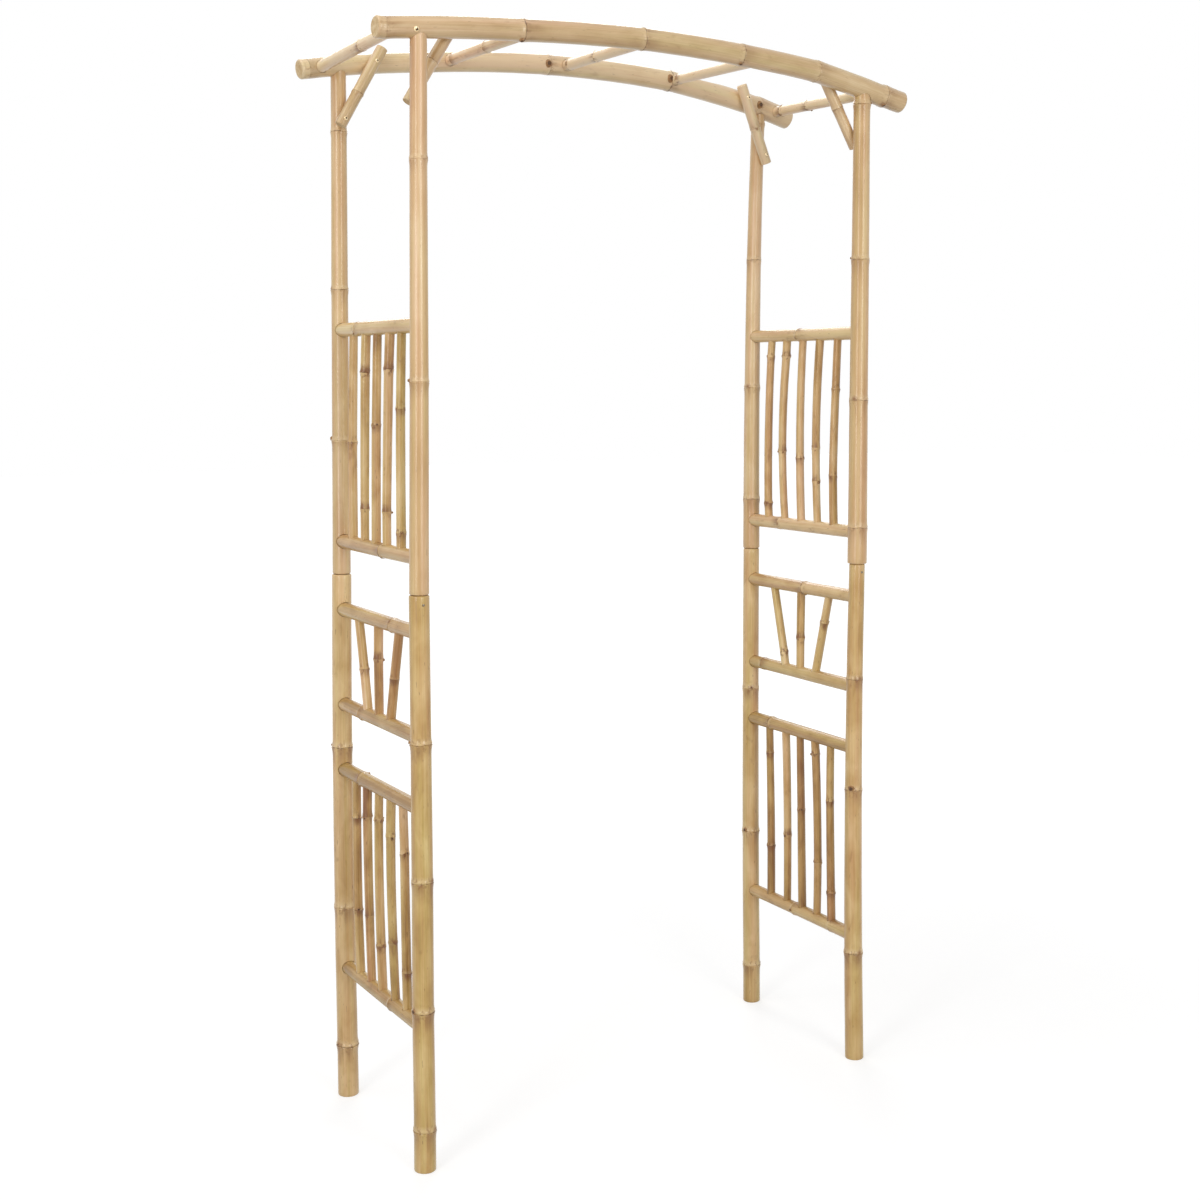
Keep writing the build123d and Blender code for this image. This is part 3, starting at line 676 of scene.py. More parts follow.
# %% Sizes and attributes
CULM_SIZES = (
    ("Sides", "NodeSocketInt", 40),
    ("Swell", "NodeSocketFloat", 0.072),
    ("Swell Width", "NodeSocketFloat", 0.21),
    ("Sheath Ring", "NodeSocketFloat", 0.03),
    ("Groove", "NodeSocketFloat", 0.034),
    ("Ridge", "NodeSocketFloat", 0.026),
    ("Bud Swell", "NodeSocketFloat", 0.04),
    ("Wander", "NodeSocketFloat", 0.11),
    ("Knobs", "NodeSocketFloat", 0.05),
    ("Wobble", "NodeSocketFloat", 0.03),
    ("Blunt End", "NodeSocketFloat", 0.0008),
    ("Skin", "NodeSocketMaterial", None),
    ("Cut", "NodeSocketMaterial", None),
    ("Bud", "NodeSocketMaterial", None),
)
CUT_FINISH, BUD_FINISH = 1, 2  # and 0 for the skin itself


def new_tree(title, start, sizes, end):
    """An empty tree with named inputs, and those inputs."""
    tree = bpy.data.node_groups.new(title, "GeometryNodeTree")
    tree.interface.new_socket(start, in_out="INPUT", socket_type="NodeSocketGeometry")
    for name, kind, value in sizes:
        socket = tree.interface.new_socket(name, in_out="INPUT", socket_type=kind)
        if value is not None:
            socket.default_value = value
    tree.interface.new_socket(end, in_out="OUTPUT", socket_type="NodeSocketGeometry")
    return tree, tree.nodes.new("NodeGroupInput").outputs


def named(tree, title, kind="FLOAT"):
    """A named attribute of the geometry."""
    node = add_node(tree, "GeometryNodeInputNamedAttribute", {"Name": title}, data_type=kind)
    return node.outputs["Attribute"]


def stored(tree, geometry, title, value, kind, domain):
    """The geometry with a value stored under a name."""
    feeds = {"Geometry": geometry, "Name": title, "Value": value}
    node = add_node(tree, "GeometryNodeStoreNamedAttribute", feeds, data_type=kind, domain=domain)
    return node.outputs[0]


def is_kind(tree, title, number):
    """1 where a whole-number attribute has this value, and 0 elsewhere."""
    return calc(tree, "COMPARE", named(tree, title, "INT"), number, 0.5)


def combined(tree, x, y, z):
    """A vector from three numbers."""
    return add_node(tree, "ShaderNodeCombineXYZ", {"X": x, "Y": y, "Z": z}).outputs[0]


def centred_noise(tree, place, waves, detail=1.0):
    """Noise between about -0.5 and 0.5."""
    feeds = {"Vector": vector_calc(tree, "MULTIPLY", place, waves), "Scale": 1.0, "Detail": detail}
    return calc(tree, "SUBTRACT", add_node(tree, "ShaderNodeTexNoise", feeds).outputs["Fac"], 0.5)


print(len(CULM_SIZES), "sizes for a culm")

# %% The tube and its places
WANDER_WAVES = (75.0, 75.0, 3.1)  # of a node's line, to the metre across, and from node to node


def bare_tube(tree, sizes):
    """A tube along the guide, with rounded rims at its ends."""
    axis = add_node(tree, "GeometryNodeMeshToCurve", {"Mesh": sizes["Guide"]}).outputs[0]
    feeds = {"Resolution": sizes["Sides"], "Radius": 1.0}
    circle = add_node(tree, "GeometryNodeCurvePrimitiveCircle", feeds)
    left = calc(tree, "SUBTRACT", sizes["Blunt End"], named(tree, "end_gap"))
    left = calc(tree, "MAXIMUM", left, 0.0)
    round_off = calc(tree, "DIVIDE", calc(tree, "MULTIPLY", left, left), sizes["Blunt End"])
    radius = calc(tree, "SUBTRACT", named(tree, "girth"), round_off)
    feeds = {"Curve": axis, "Profile Curve": circle.outputs[0], "Scale": radius, "Fill Caps": True}
    return add_node(tree, "GeometryNodeCurveToMesh", feeds).outputs[0]


def culm_places(tree, sizes):
    """Where a point lies: spoke from the axis, place on the culm, gap to the node's line, arc to the bud."""
    position = add_node(tree, "GeometryNodeInputPosition").outputs[0]
    spoke = vector_calc(tree, "SUBTRACT", position, named(tree, "axis_point", "FLOAT_VECTOR"))
    side = named(tree, "side", "FLOAT_VECTOR")
    across = vector_calc(tree, "CROSS_PRODUCT", named(tree, "way", "FLOAT_VECTOR"), side)
    right = vector_calc(tree, "DOT_PRODUCT", spoke, side)
    up = vector_calc(tree, "DOT_PRODUCT", spoke, across)
    place = combined(tree, right, up, named(tree, "along"))
    turn = calc(tree, "SUBTRACT", calc(tree, "ARCTAN2", up, right), named(tree, "bud_turn"))
    arc = calc(tree, "MULTIPLY", calc(tree, "WRAP", turn, math.pi, -math.pi), 0.5)
    round_node = combined(tree, right, up, named(tree, "bud_turn"))
    wander = centred_noise(tree, round_node, WANDER_WAVES)
    gap = calc(tree, "MULTIPLY_ADD", wander, sizes["Wander"], named(tree, "node_gap"))
    return spoke, place, gap, arc


def keep_places(tree, tube, place, gap, arc):
    """Stores the places on the tube's corners, for the materials."""
    tube = stored(tree, tube, "culm_place", place, "FLOAT_VECTOR", "CORNER")
    node_place = combined(tree, gap, arc, named(tree, "tone"))
    tube = stored(tree, tube, "culm_node", node_place, "FLOAT_VECTOR", "CORNER")
    tube = stored(tree, tube, "culm_hue", named(tree, "hue"), "FLOAT", "CORNER")
    tube = stored(tree, tube, "culm_line", named(tree, "line"), "FLOAT", "CORNER")
    corners = add_node(tree, "GeometryNodeInputMeshFaceNeighbors").outputs["Vertex Count"]
    capped = calc(tree, "MULTIPLY", calc(tree, "GREATER_THAN", corners, 4.0), float(CUT_FINISH))
    return stored(tree, tube, "finish", capped, "INT", "FACE")


print("a tube keeps its place, its gap to a node, its hue and its line on every corner")

# %% Nodes, knobs and wobble
SWELL_PLACE = -0.03  # places and widths are in diameters, and places count from the node's line
SHEATH_PLACE, SHEATH_WIDTH = -0.032, 0.02
GROOVE_PLACE, GROOVE_WIDTH = 0.012, 0.016
RIDGE_PLACE, RIDGE_WIDTH = 0.085, 0.05
KNOB_PLACE, KNOB_WIDTH = 0.02, 0.22
BUD_ARC, BUD_WIDTH = 0.13, 0.12  # round the culm and along it
KNOB_WAVES = (210.0, 210.0, 190.0)  # to the metre, across and along
WOBBLE_WAVES = (30.0, 30.0, 11.0)


def grown_skin(tree, tube, sizes, spoke, place, gap, arc):
    """Pushes the tube's skin out at its nodes and makes it uneven."""
    rise = hump(tree, gap, SWELL_PLACE, sizes["Swell Width"], sizes["Swell"])
    rise = calc(tree, "ADD", rise, hump(tree, gap, SHEATH_PLACE, SHEATH_WIDTH, sizes["Sheath Ring"]))
    rise = calc(tree, "SUBTRACT", rise, hump(tree, gap, GROOVE_PLACE, GROOVE_WIDTH, sizes["Groove"]))
    rise = calc(tree, "ADD", rise, hump(tree, gap, RIDGE_PLACE, RIDGE_WIDTH, sizes["Ridge"]))
    knobs = calc(tree, "MULTIPLY", centred_noise(tree, place, KNOB_WAVES), 2.0)
    knobs = calc(tree, "MULTIPLY", knobs, sizes["Knobs"])
    rise = calc(tree, "ADD", rise, hump(tree, gap, KNOB_PLACE, KNOB_WIDTH, knobs))
    rise = calc(tree, "MULTIPLY", rise, named(tree, "node_size"))
    bud = hump(tree, gap, STUB_GAP, BUD_WIDTH, sizes["Bud Swell"])
    bud = calc(tree, "MULTIPLY", hump(tree, arc, 0.0, BUD_ARC, bud), named(tree, "node_size"))
    wobble = calc(tree, "MULTIPLY", centred_noise(tree, place, WOBBLE_WAVES), sizes["Wobble"])
    rise = calc(tree, "ADD", calc(tree, "ADD", rise, bud), wobble)
    push = calc(tree, "MULTIPLY", rise, named(tree, "girth"))
    outward = vector_calc(tree, "NORMALIZE", spoke)
    feeds = {0: outward, "Scale": push}
    offset = add_node(tree, "ShaderNodeVectorMath", feeds, operation="SCALE").outputs[0]
    return add_node(tree, "GeometryNodeSetPosition", {"Geometry": tube, "Offset": offset}).outputs[0]


print("a node's ridge stands", RIDGE_PLACE - SHEATH_PLACE, "diameters above its sheath ring")

# %% Drilled holes and buds
DRILL_SHAPE = {"Vertices": 40, "Radius": 1.0, "Depth": 1.0}
BUD_SHAPE = {"Vertices": 16, "Side Segments": 3, "Radius Top": 0.62, "Radius Bottom": 1.3, "Depth": 1.5}
BUD_SUNK = (0, 0, -1.0)


def placed(tree, sizes, kind, thing):
    """A thing on every guide point of one kind, aimed and scaled as the point says."""
    selection = {"Mesh": sizes["Guide"], "Selection": is_kind(tree, "kind", kind)}
    points = add_node(tree, "GeometryNodeMeshToPoints", selection).outputs[0]
    way, size = named(tree, "way", "FLOAT_VECTOR"), named(tree, "size", "FLOAT_VECTOR")
    aim = add_node(tree, "FunctionNodeAlignRotationToVector", {"Vector": way}, axis="Z").outputs[0]
    feeds = {"Points": points, "Instance": thing, "Rotation": aim, "Scale": size}
    many = add_node(tree, "GeometryNodeInstanceOnPoints", feeds).outputs[0]
    return add_node(tree, "GeometryNodeRealizeInstances", {"Geometry": many}).outputs[0]


def drilled(tree, tube, sizes):
    """The tube with its holes cut."""
    bit = add_node(tree, "GeometryNodeMeshCylinder", DRILL_SHAPE).outputs["Mesh"]
    bit = stored(tree, bit, "finish", CUT_FINISH, "INT", "FACE")
    cutter = add_node(tree, "GeometryNodeMeshBoolean", operation="DIFFERENCE", solver="MANIFOLD")
    tree.links.new(tube, cutter.inputs["Mesh 1"])
    tree.links.new(placed(tree, sizes, DRILL, bit), cutter.inputs["Mesh 2"])
    return cutter.outputs[0]


def trimmed_buds(tree, sizes):
    """Low knobs with a dark core, sunk into the skin."""
    cone = add_node(tree, "GeometryNodeMeshCone", BUD_SHAPE)
    knob = stored(tree, cone.outputs["Mesh"], "bud_core", cone.outputs["Top"], "FLOAT", "FACE")
    knob = stored(tree, knob, "finish", BUD_FINISH, "INT", "FACE")
    knob = add_node(tree, "GeometryNodeSetPosition", {"Geometry": knob, "Offset": BUD_SUNK}).outputs[0]
    return placed(tree, sizes, STUB, knob)


print("drills have", DRILL_SHAPE["Vertices"], "sides and buds", BUD_SHAPE["Vertices"])

# %% The whole culm tree
CULM_FOLD = 42  # degrees above which an edge of a culm is sharp


def shaded(tree, geometry, angle):
    """Smooth shading, with sharp edges above an angle in degrees."""
    smooth = {"Geometry": geometry, "Shade Smooth": True}
    geometry = add_node(tree, "GeometryNodeSetShadeSmooth", smooth).outputs[0]
    fold = add_node(tree, "GeometryNodeInputMeshEdgeAngle").outputs[0]
    sharp = calc(tree, "GREATER_THAN", fold, math.radians(angle))
    feeds = {"Geometry": geometry, "Selection": sharp, "Shade Smooth": False}
    return add_node(tree, "GeometryNodeSetShadeSmooth", feeds, domain="EDGE").outputs[0]


def build_culm_tree():
    """The tree that grows any culm from its guide."""
    tree, sizes = new_tree("bamboo culm", "Guide", CULM_SIZES, "Culm")
    tube = bare_tube(tree, sizes)
    spoke, place, gap, arc = culm_places(tree, sizes)
    tube = keep_places(tree, tube, place, gap, arc)
    tube = grown_skin(tree, tube, sizes, spoke, place, gap, arc)
    joined = tree.nodes.new("GeometryNodeJoinGeometry")
    for geometry in (trimmed_buds(tree, sizes), drilled(tree, tube, sizes)):
        tree.links.new(geometry, joined.inputs[0])
    whole = add_node(tree, "GeometryNodeRealizeInstances", {"Geometry": joined.outputs[0]}).outputs[0]
    whole = shaded(tree, whole, CULM_FOLD)
    feeds = {"Geometry": whole, "Material": sizes["Skin"]}
    whole = add_node(tree, "GeometryNodeSetMaterial", feeds).outputs[0]
    for number, title in ((CUT_FINISH, "Cut"), (BUD_FINISH, "Bud")):
        feeds = {"Geometry": whole, "Selection": is_kind(tree, "finish", number), "Material": sizes[title]}
        whole = add_node(tree, "GeometryNodeSetMaterial", feeds).outputs[0]
    add_node(tree, "NodeGroupOutput", {"Culm": whole})
    return tree


culm_tree = build_culm_tree()
print("culm tree with", len(culm_tree.nodes), "nodes")

# %% [markdown]
# ## Finishes
# Dry bamboo has a hard satin skin. Fibres run along it as fine streaks, with broader bands of straw and
# tan, brown patches where it was stained, a thin dark line at each node, a paler collar above that line and
# a brown flush below it. Pictures of bamboo could be wrapped round the poles, but they would repeat and show
# a seam. These patterns read where each corner lies on its culm, so the grain follows every pole whichever
# way it leans, and no two poles share a stretch of it.

# %% Colours and mixing


def screen_colour(red, green, blue):
    """A colour as a screen shows it, 0 to 255, in the linear light that shaders use."""
    linear = []
    for channel in (red / 255, green / 255, blue / 255):
        linear.append(channel / 12.92 if channel <= 0.04045 else ((channel + 0.055) / 1.055) ** 2.4)
    return (*linear, 1.0)


def mix_colour(tree, share, below, above):
    """Two colours mixed by a share."""
    node = tree.nodes.new("ShaderNodeMix")
    node.data_type = "RGBA"
    for index, value in ((0, share), (6, below), (7, above)):
        if isinstance(value, bpy.types.NodeSocket):
            tree.links.new(value, node.inputs[index])
        else:
            node.inputs[index].default_value = value
    return node.outputs[2]


def grain(tree, place, across, along, detail, distortion=0.0):
    """Noise over a place on a culm, with so many waves to the metre across and along."""
    stretched = vector_calc(tree, "MULTIPLY", place, (across, across, along))
    feeds = {"Vector": stretched, "Scale": 1.0, "Detail": detail, "Distortion": distortion}
    return add_node(tree, "ShaderNodeTexNoise", feeds).outputs["Fac"]


def colour_ramp(tree, share, stops):
    """A ramp through colours at given shares."""
    node = add_node(tree, "ShaderNodeValToRGB", {"Fac": share})
    elements = node.color_ramp.elements
    while len(elements) < len(stops):
        elements.new(1.0)
    for element, (position, colour) in zip(elements, stops):
        element.position = position
        element.color = colour
    return node.outputs["Color"]


def new_material(name):
    """An empty principled material and its parts."""
    material = bpy.data.materials.new(name)
    material.use_nodes = True
    return material, material.node_tree, material.node_tree.nodes["Principled BSDF"]


def feed_shader(tree, shader, colour, rough, height=None, strength=0.0, distance=0.0):
    """Joins a colour and a roughness to a shader, and a bump of so many metres where there is a height."""
    tree.links.new(colour, shader.inputs["Base Color"])
    tree.links.new(rough, shader.inputs["Roughness"])
    if height is not None:
        feeds = {"Strength": strength, "Distance": distance, "Height": height}
        tree.links.new(add_node(tree, "ShaderNodeBump", feeds).outputs[0], shader.inputs["Normal"])


print("straw in linear light:", [round(value, 3) for value in screen_colour(219, 184, 134)])

# %% Fibres, bands and patches
FIBRE_SHARE = 0.55  # how strongly the fibres show
FIBRE_GRAIN = (700, 9, 4.0)  # waves to the metre across and along, detail, and distortion where there is any
BAND_GRAIN = (85, 2.0, 3.0)
PATCH_GRAIN = (34, 13, 3.0, 0.5)


def skin_share(tree, place, tone, bands, patches):
    """Where the skin lies between its pale and its dark tone, and the noises of its bands and fibres."""
    fibre = grain(tree, place, *FIBRE_GRAIN)
    band = grain(tree, place, *BAND_GRAIN)
    patch = grain(tree, place, *PATCH_GRAIN)
    share = calc(tree, "MULTIPLY_ADD", calc(tree, "SUBTRACT", band, 0.5), bands, tone)
    share = calc(tree, "MULTIPLY_ADD", calc(tree, "SUBTRACT", patch, 0.5), patches, share)
    share = calc(tree, "MULTIPLY_ADD", calc(tree, "SUBTRACT", fibre, 0.5), FIBRE_SHARE, share)
    return share, band, fibre


print("waves to the metre: fibres", FIBRE_GRAIN[0], "bands", BAND_GRAIN[0], "patches", PATCH_GRAIN[0])

# %% Colours at the nodes
NODE_LINE = screen_colour(92, 62, 36)
NODE_PALE = screen_colour(236, 212, 170)
NODE_FLUSH = screen_colour(142, 96, 56)
SPOT_GRAIN = (190, 120, 2.0)
FLUSH_RISE, FLUSH_STOP = (-1.1, -0.1), (0.02, -0.01)  # in diameters from a node's line
FLUSH_BANDS = (0.35, 0.65)  # the flush keeps to the darker bands
COLLAR_START, COLLAR_END = (0.02, 0.06), (0.40, 0.14)
SPECK_PLACE, SPECK_PEAKS = 0.02, (0.52, 0.66)
LINE_PLACE, LINE_WIDTH = 0.008, 0.020
LINE_BREAKS, LINE_LEAST, LINE_MORE = (0.35, 0.6), 0.3, 0.6  # where the line breaks, and how dark it is there
SCAR_ARC, SCAR_WIDTH, SCAR_SHARE = 0.15, 0.13, 0.9


def node_colours(tree, colour, gap, arc, place, band, line, flush, collar, scars):
    """Lays a node's colours over the skin: flush, pale collar, brown specks, thin dark line and bud scar."""
    spots = grain(tree, place, *SPOT_GRAIN)
    below = calc(tree, "MULTIPLY", slope(tree, gap, *FLUSH_RISE), slope(tree, gap, *FLUSH_STOP))
    below = calc(tree, "MULTIPLY", below, calc(tree, "MULTIPLY", slope(tree, band, *FLUSH_BANDS), flush))
    colour = mix_colour(tree, below, colour, NODE_FLUSH)
    above = calc(tree, "MULTIPLY", slope(tree, gap, *COLLAR_START), slope(tree, gap, *COLLAR_END))
    colour = mix_colour(tree, calc(tree, "MULTIPLY", above, collar), colour, NODE_PALE)
    specks = calc(tree, "MULTIPLY", slope(tree, spots, *SPECK_PEAKS), flush)
    colour = mix_colour(tree, hump(tree, gap, SPECK_PLACE, scars, specks), colour, NODE_FLUSH)
    broken = calc(tree, "MULTIPLY_ADD", slope(tree, spots, *LINE_BREAKS), LINE_MORE, LINE_LEAST)
    line = hump(tree, gap, LINE_PLACE, LINE_WIDTH, calc(tree, "MULTIPLY", broken, line))
    colour = mix_colour(tree, line, colour, NODE_LINE)
    scar = hump(tree, arc, 0.0, SCAR_ARC, hump(tree, gap, STUB_GAP, SCAR_WIDTH, SCAR_SHARE))
    return mix_colour(tree, scar, colour, NODE_FLUSH), line


print("a node's line is", LINE_WIDTH, "diameters wide")

# %% The whole skin
RAMP_PLACES = (0.1, 0.4, 0.65, 0.95)
HUE_SWING = 0.016  # of the colour wheel, from tan to olive or to red
STAIN_SWING = 3.4  # how strongly stains swing the hue
STAIN_GRAIN = (80, 3, 2.0)
FLECK = screen_colour(124, 88, 54)
FLECK_SHARE, FLECK_PEAKS = 0.45, (0.71, 0.78)  # flecks are the peaks of their grain
FLECK_GRAIN = (380, 70, 1.0)
SMUDGE_SHARE, SMUDGE_PEAKS = 0.45, (0.60, 0.80)
SMUDGE_GRAIN = (70, 26, 4.0, 0.6)
SKIN_ROUGH, FIBRE_ROUGH, LINE_ROUGH = 0.30, 0.22, 0.25  # bare, and what fibres and node lines add
SKIN_BUMP = (0.25, 0.0005)  # strength, and depth in metres
BAND_HEIGHT = 0.3  # of the bands against the fibres
SKIN_SPECULAR = 0.2
COAT_ROUGH = 0.18


def bamboo_skin(name, tones, bands, patches, flush, collar, scars, gloss):
    """The satin skin of one kind of culm: tones from pale to dark, then how strong each pattern is."""
    material, tree, shader = new_material(name)
    place = add_node(tree, "ShaderNodeAttribute", attribute_name="culm_place").outputs["Vector"]
    on_node = add_node(tree, "ShaderNodeAttribute", attribute_name="culm_node").outputs["Vector"]
    hue = add_node(tree, "ShaderNodeAttribute", attribute_name="culm_hue").outputs["Fac"]
    line = add_node(tree, "ShaderNodeAttribute", attribute_name="culm_line").outputs["Fac"]
    gap, arc, tone = add_node(tree, "ShaderNodeSeparateXYZ", {0: on_node}).outputs

    share, band, fibre = skin_share(tree, place, tone, bands, patches)
    stops = [(at, screen_colour(*tint)) for at, tint in zip(RAMP_PLACES, tones)]
    colour = colour_ramp(tree, share, stops)
    stain = calc(tree, "SUBTRACT", grain(tree, place, *STAIN_GRAIN), 0.5)
    swing = calc(tree, "MULTIPLY_ADD", stain, STAIN_SWING, hue)
    swing = calc(tree, "MULTIPLY_ADD", swing, HUE_SWING, 0.5)
    colour = add_node(tree, "ShaderNodeHueSaturation", {"Hue": swing, "Color": colour}).outputs[0]
    flecks = slope(tree, grain(tree, place, *FLECK_GRAIN), *FLECK_PEAKS)
    colour = mix_colour(tree, calc(tree, "MULTIPLY", flecks, FLECK_SHARE * patches), colour, FLECK)
    smudge = calc(tree, "MULTIPLY", slope(tree, grain(tree, place, *SMUDGE_GRAIN), *SMUDGE_PEAKS), patches)
    colour = mix_colour(tree, calc(tree, "MULTIPLY", smudge, SMUDGE_SHARE), colour, NODE_FLUSH)
    colour, line = node_colours(tree, colour, gap, arc, place, band, line, flush, collar, scars)

    rough = calc(tree, "MULTIPLY_ADD", fibre, FIBRE_ROUGH, SKIN_ROUGH)
    rough = calc(tree, "MULTIPLY_ADD", line, LINE_ROUGH, rough)
    height = calc(tree, "MULTIPLY_ADD", band, BAND_HEIGHT, fibre)
    feed_shader(tree, shader, colour, rough, height, *SKIN_BUMP)
    shader.inputs["Specular IOR Level"].default_value = SKIN_SPECULAR
    shader.inputs["Coat Weight"].default_value = gloss
    shader.inputs["Coat Roughness"].default_value = COAT_ROUGH
    return material


print("a skin runs through", len(RAMP_PLACES), "tones")

# %% A skin for each kind of pole
SKINS = {  # tones from pale to dark
    "upper_post": bamboo_skin(
        "straw skin", [(240, 214, 170), (224, 190, 142), (210, 171, 120), (186, 144, 94)],
        bands=0.9, patches=0.5, flush=0.35, collar=0.30, scars=0.3, gloss=0.7,
    ),
    "lower_post": bamboo_skin(
        "yellow skin", [(232, 201, 145), (212, 177, 117), (196, 157, 94), (166, 126, 70)],
        bands=0.6, patches=1.1, flush=0.6, collar=0.30, scars=0.35, gloss=0.7,
    ),
    "beam": bamboo_skin(
        "beam skin", [(234, 208, 166), (216, 184, 140), (200, 166, 120), (172, 136, 92)],
        bands=0.6, patches=0.7, flush=0.4, collar=0.15, scars=0.3, gloss=0.7,
    ),
    "rung": bamboo_skin(
        "rung skin", [(234, 204, 152), (216, 182, 126), (198, 160, 104), (168, 128, 76)],
        bands=0.9, patches=1.0, flush=0.6, collar=0.25, scars=0.35, gloss=0.5,
    ),
    "slat": bamboo_skin(
        "slat skin", [(236, 203, 153), (218, 179, 121), (194, 151, 92), (150, 106, 60)],
        bands=0.9, patches=1.1, flush=1.0, collar=0.10, scars=0.6, gloss=0.6,
    ),
    # the roof skin is paler than the rest, partly its own pale straw and partly painted light from above
    "roof": bamboo_skin(
        "roof skin", [(250, 224, 184), (238, 204, 160), (220, 182, 136), (182, 142, 98)],
        bands=0.9, patches=0.9, flush=0.8, collar=0.20, scars=0.4, gloss=0.3,
    ),
}
print(len(SKINS), "bamboo skins")

# %% [markdown]
# ## Cut ends, buds and fasteners
# Sawn bamboo shows pale wood with dark dots, which are the ends of its fibre bundles. Trimmed buds are dark
# and rough. The spigots are turned pegs, the screws are plated and the nails are plain wire. These finishes
# could follow the poles as the skin does, but a cut face needs no such grain, so they simply read the
# object's own coordinates.

# %% Wood and metal


def own_place(tree):
    """The object's own coordinates."""
    return add_node(tree, "ShaderNodeTexCoord").outputs["Object"]


def stains(tree, waves):
    """Noise on the object's own coordinates, with so many waves to the metre."""
    feeds = {"Vector": own_place(tree), "Scale": waves, "Detail": 3.0}
    return add_node(tree, "ShaderNodeTexNoise", feeds).outputs["Fac"]


def two_tones(tree, share, first_at, first, second_at, second):
    """A ramp between two screen colours."""
    stops = [(first_at, screen_colour(*first)), (second_at, screen_colour(*second))]
    return colour_ramp(tree, share, stops)


def sawn_bamboo():
    """Pale end grain with dark dots."""
    material, tree, shader = new_material("sawn bamboo")
    stain = stains(tree, 120.0)
    feeds = {"Vector": own_place(tree), "Scale": 950.0}
    dots = add_node(tree, "ShaderNodeTexVoronoi", feeds).outputs["Distance"]
    colour = two_tones(tree, stain, 0.3, (236, 212, 170), 0.7, (208, 174, 124))
    speckle = calc(tree, "MULTIPLY", slope(tree, dots, 0.45, 0.2), 0.5)
    colour = mix_colour(tree, speckle, colour, screen_colour(150, 112, 70))
    feed_shader(tree, shader, colour, calc(tree, "MULTIPLY_ADD", stain, 0.2, 0.65), dots, 0.3, 0.0004)
    return material


def trimmed_bud():
    """Rough brown, with a darker core."""
    material, tree, shader = new_material("trimmed bud")
    stain = stains(tree, 420.0)
    core = add_node(tree, "ShaderNodeAttribute", attribute_name="bud_core").outputs["Fac"]
    colour = two_tones(tree, stain, 0.3, (116, 78, 46), 0.7, (186, 142, 92))
    colour = mix_colour(tree, calc(tree, "MULTIPLY", core, 0.8), colour, screen_colour(58, 36, 20))
    feed_shader(tree, shader, colour, calc(tree, "MULTIPLY_ADD", stain, 0.3, 0.5), stain, 0.5, 0.0006)
    return material


def turned_peg():
    """Wood with its fibres upright, as the spigots stand."""
    material, tree, shader = new_material("turned peg")
    fibre = grain(tree, own_place(tree), 420, 14, 4.0)
    colour = two_tones(tree, fibre, 0.25, (222, 190, 142), 0.75, (184, 142, 92))
    feed_shader(tree, shader, colour, calc(tree, "MULTIPLY_ADD", fibre, 0.2, 0.5), fibre, 0.2, 0.0004)
    return material


def plated_steel(name, bright, dull):
    """Worn bright metal. With dark colours it is the painted shade in a screw's cross recess."""
    material, tree, shader = new_material(name)
    wear = stains(tree, 900.0)
    colour = two_tones(tree, wear, 0.35, dull, 0.65, bright)
    feed_shader(tree, shader, colour, calc(tree, "MULTIPLY_ADD", wear, 0.25, 0.2))
    shader.inputs["Metallic"].default_value = 1.0
    return material


SAWN = sawn_bamboo()
BUD = trimmed_bud()
PEG = turned_peg()
SCREW = plated_steel("yellow zinc plating", (250, 232, 196), (206, 178, 132))
NAIL = plated_steel("nail wire", (150, 140, 124), (98, 88, 74))
# dark metal for the cross recess of the screws: painted shade
RECESS_PAINTED_SHADE = plated_steel("recess shade", (92, 74, 52), (56, 44, 30))
print("finishes:", [material.name for material in (SAWN, BUD, PEG, SCREW, NAIL, RECESS_PAINTED_SHADE)])

# %% [markdown]
# ## Growing the poles
# Each guide gets the tree as a modifier, with the sizes of its kind. The tree could stay live on the piece,
# but an export drops what it instances. So the result becomes a plain mesh, which takes the place of its CAD
# rod and moves with the same body.

# %% Grow and dress every culm


def set_sizes(modifier, tree, sizes):
    """Sets a modifier's inputs by their identifiers."""
    for item in tree.interface.items_tree:
        if item.in_out == "INPUT" and item.name in sizes:
            modifier[item.identifier] = sizes[item.name]


def grown(name, guide, tree, sizes):
    """A plain mesh object grown from a guide by a tree."""
    thing = bpy.data.objects.new(name, guide)
    bpy.context.scene.collection.objects.link(thing)
    modifier = thing.modifiers.new("growth", "NODES")
    modifier.node_group = tree
    set_sizes(modifier, tree, sizes)
    depsgraph = bpy.context.evaluated_depsgraph_get()
    mesh = bpy.data.meshes.new_from_object(
        thing.evaluated_get(depsgraph), preserve_all_data_layers=True, depsgraph=depsgraph
    )
    thing.modifiers.clear()
    thing.data = mesh
    return thing


def skin_of(name):
    """The skin whose word is in a node's name."""
    if "brace" in name:
        return SKINS["beam"]
    if "roof" in name:
        return SKINS["roof"]
    return next(SKINS[words] for words in SKINS if words in name)


POST_RIM = 0.0016  # rounding of the rims at the slip joints
BEAM_RIM = 0.0024  # and at the beams' ends
RIM = 0.0008  # and everywhere else
pieces = []
for name, guide in guides.items():
    habit = habit_of(name)
    sizes = {"Sides": habit.sides, "Knobs": habit.knobs, "Skin": skin_of(name), "Cut": SAWN, "Bud": BUD}
    sizes["Swell"], sizes["Swell Width"] = habit.swell
    sizes["Blunt End"] = POST_RIM if "post" in name else BEAM_RIM if "beam" in name else RIM
    piece = grown(name + "_culm", guide, culm_tree, sizes)
    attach(piece, body_of[name])
    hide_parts(name)
    pieces.append(piece)
triangles = [sum(len(face.vertices) - 2 for face in piece.data.polygons) for piece in pieces]
print(len(pieces), "poles,", sum(triangles), "triangles, most on one:", max(triangles))

# %% [markdown]
# ## Screws, nails and spigots
# The same few heads repeat: four screws at the beams, eight at the braces and four nails at the slip joints.
# They could be copied by hand, but a second tree sets a domed head with a cross recess on a shank at each
# place that the frame gives. The spigots keep their CAD shape, which is right as it is, and only get their
# wood.

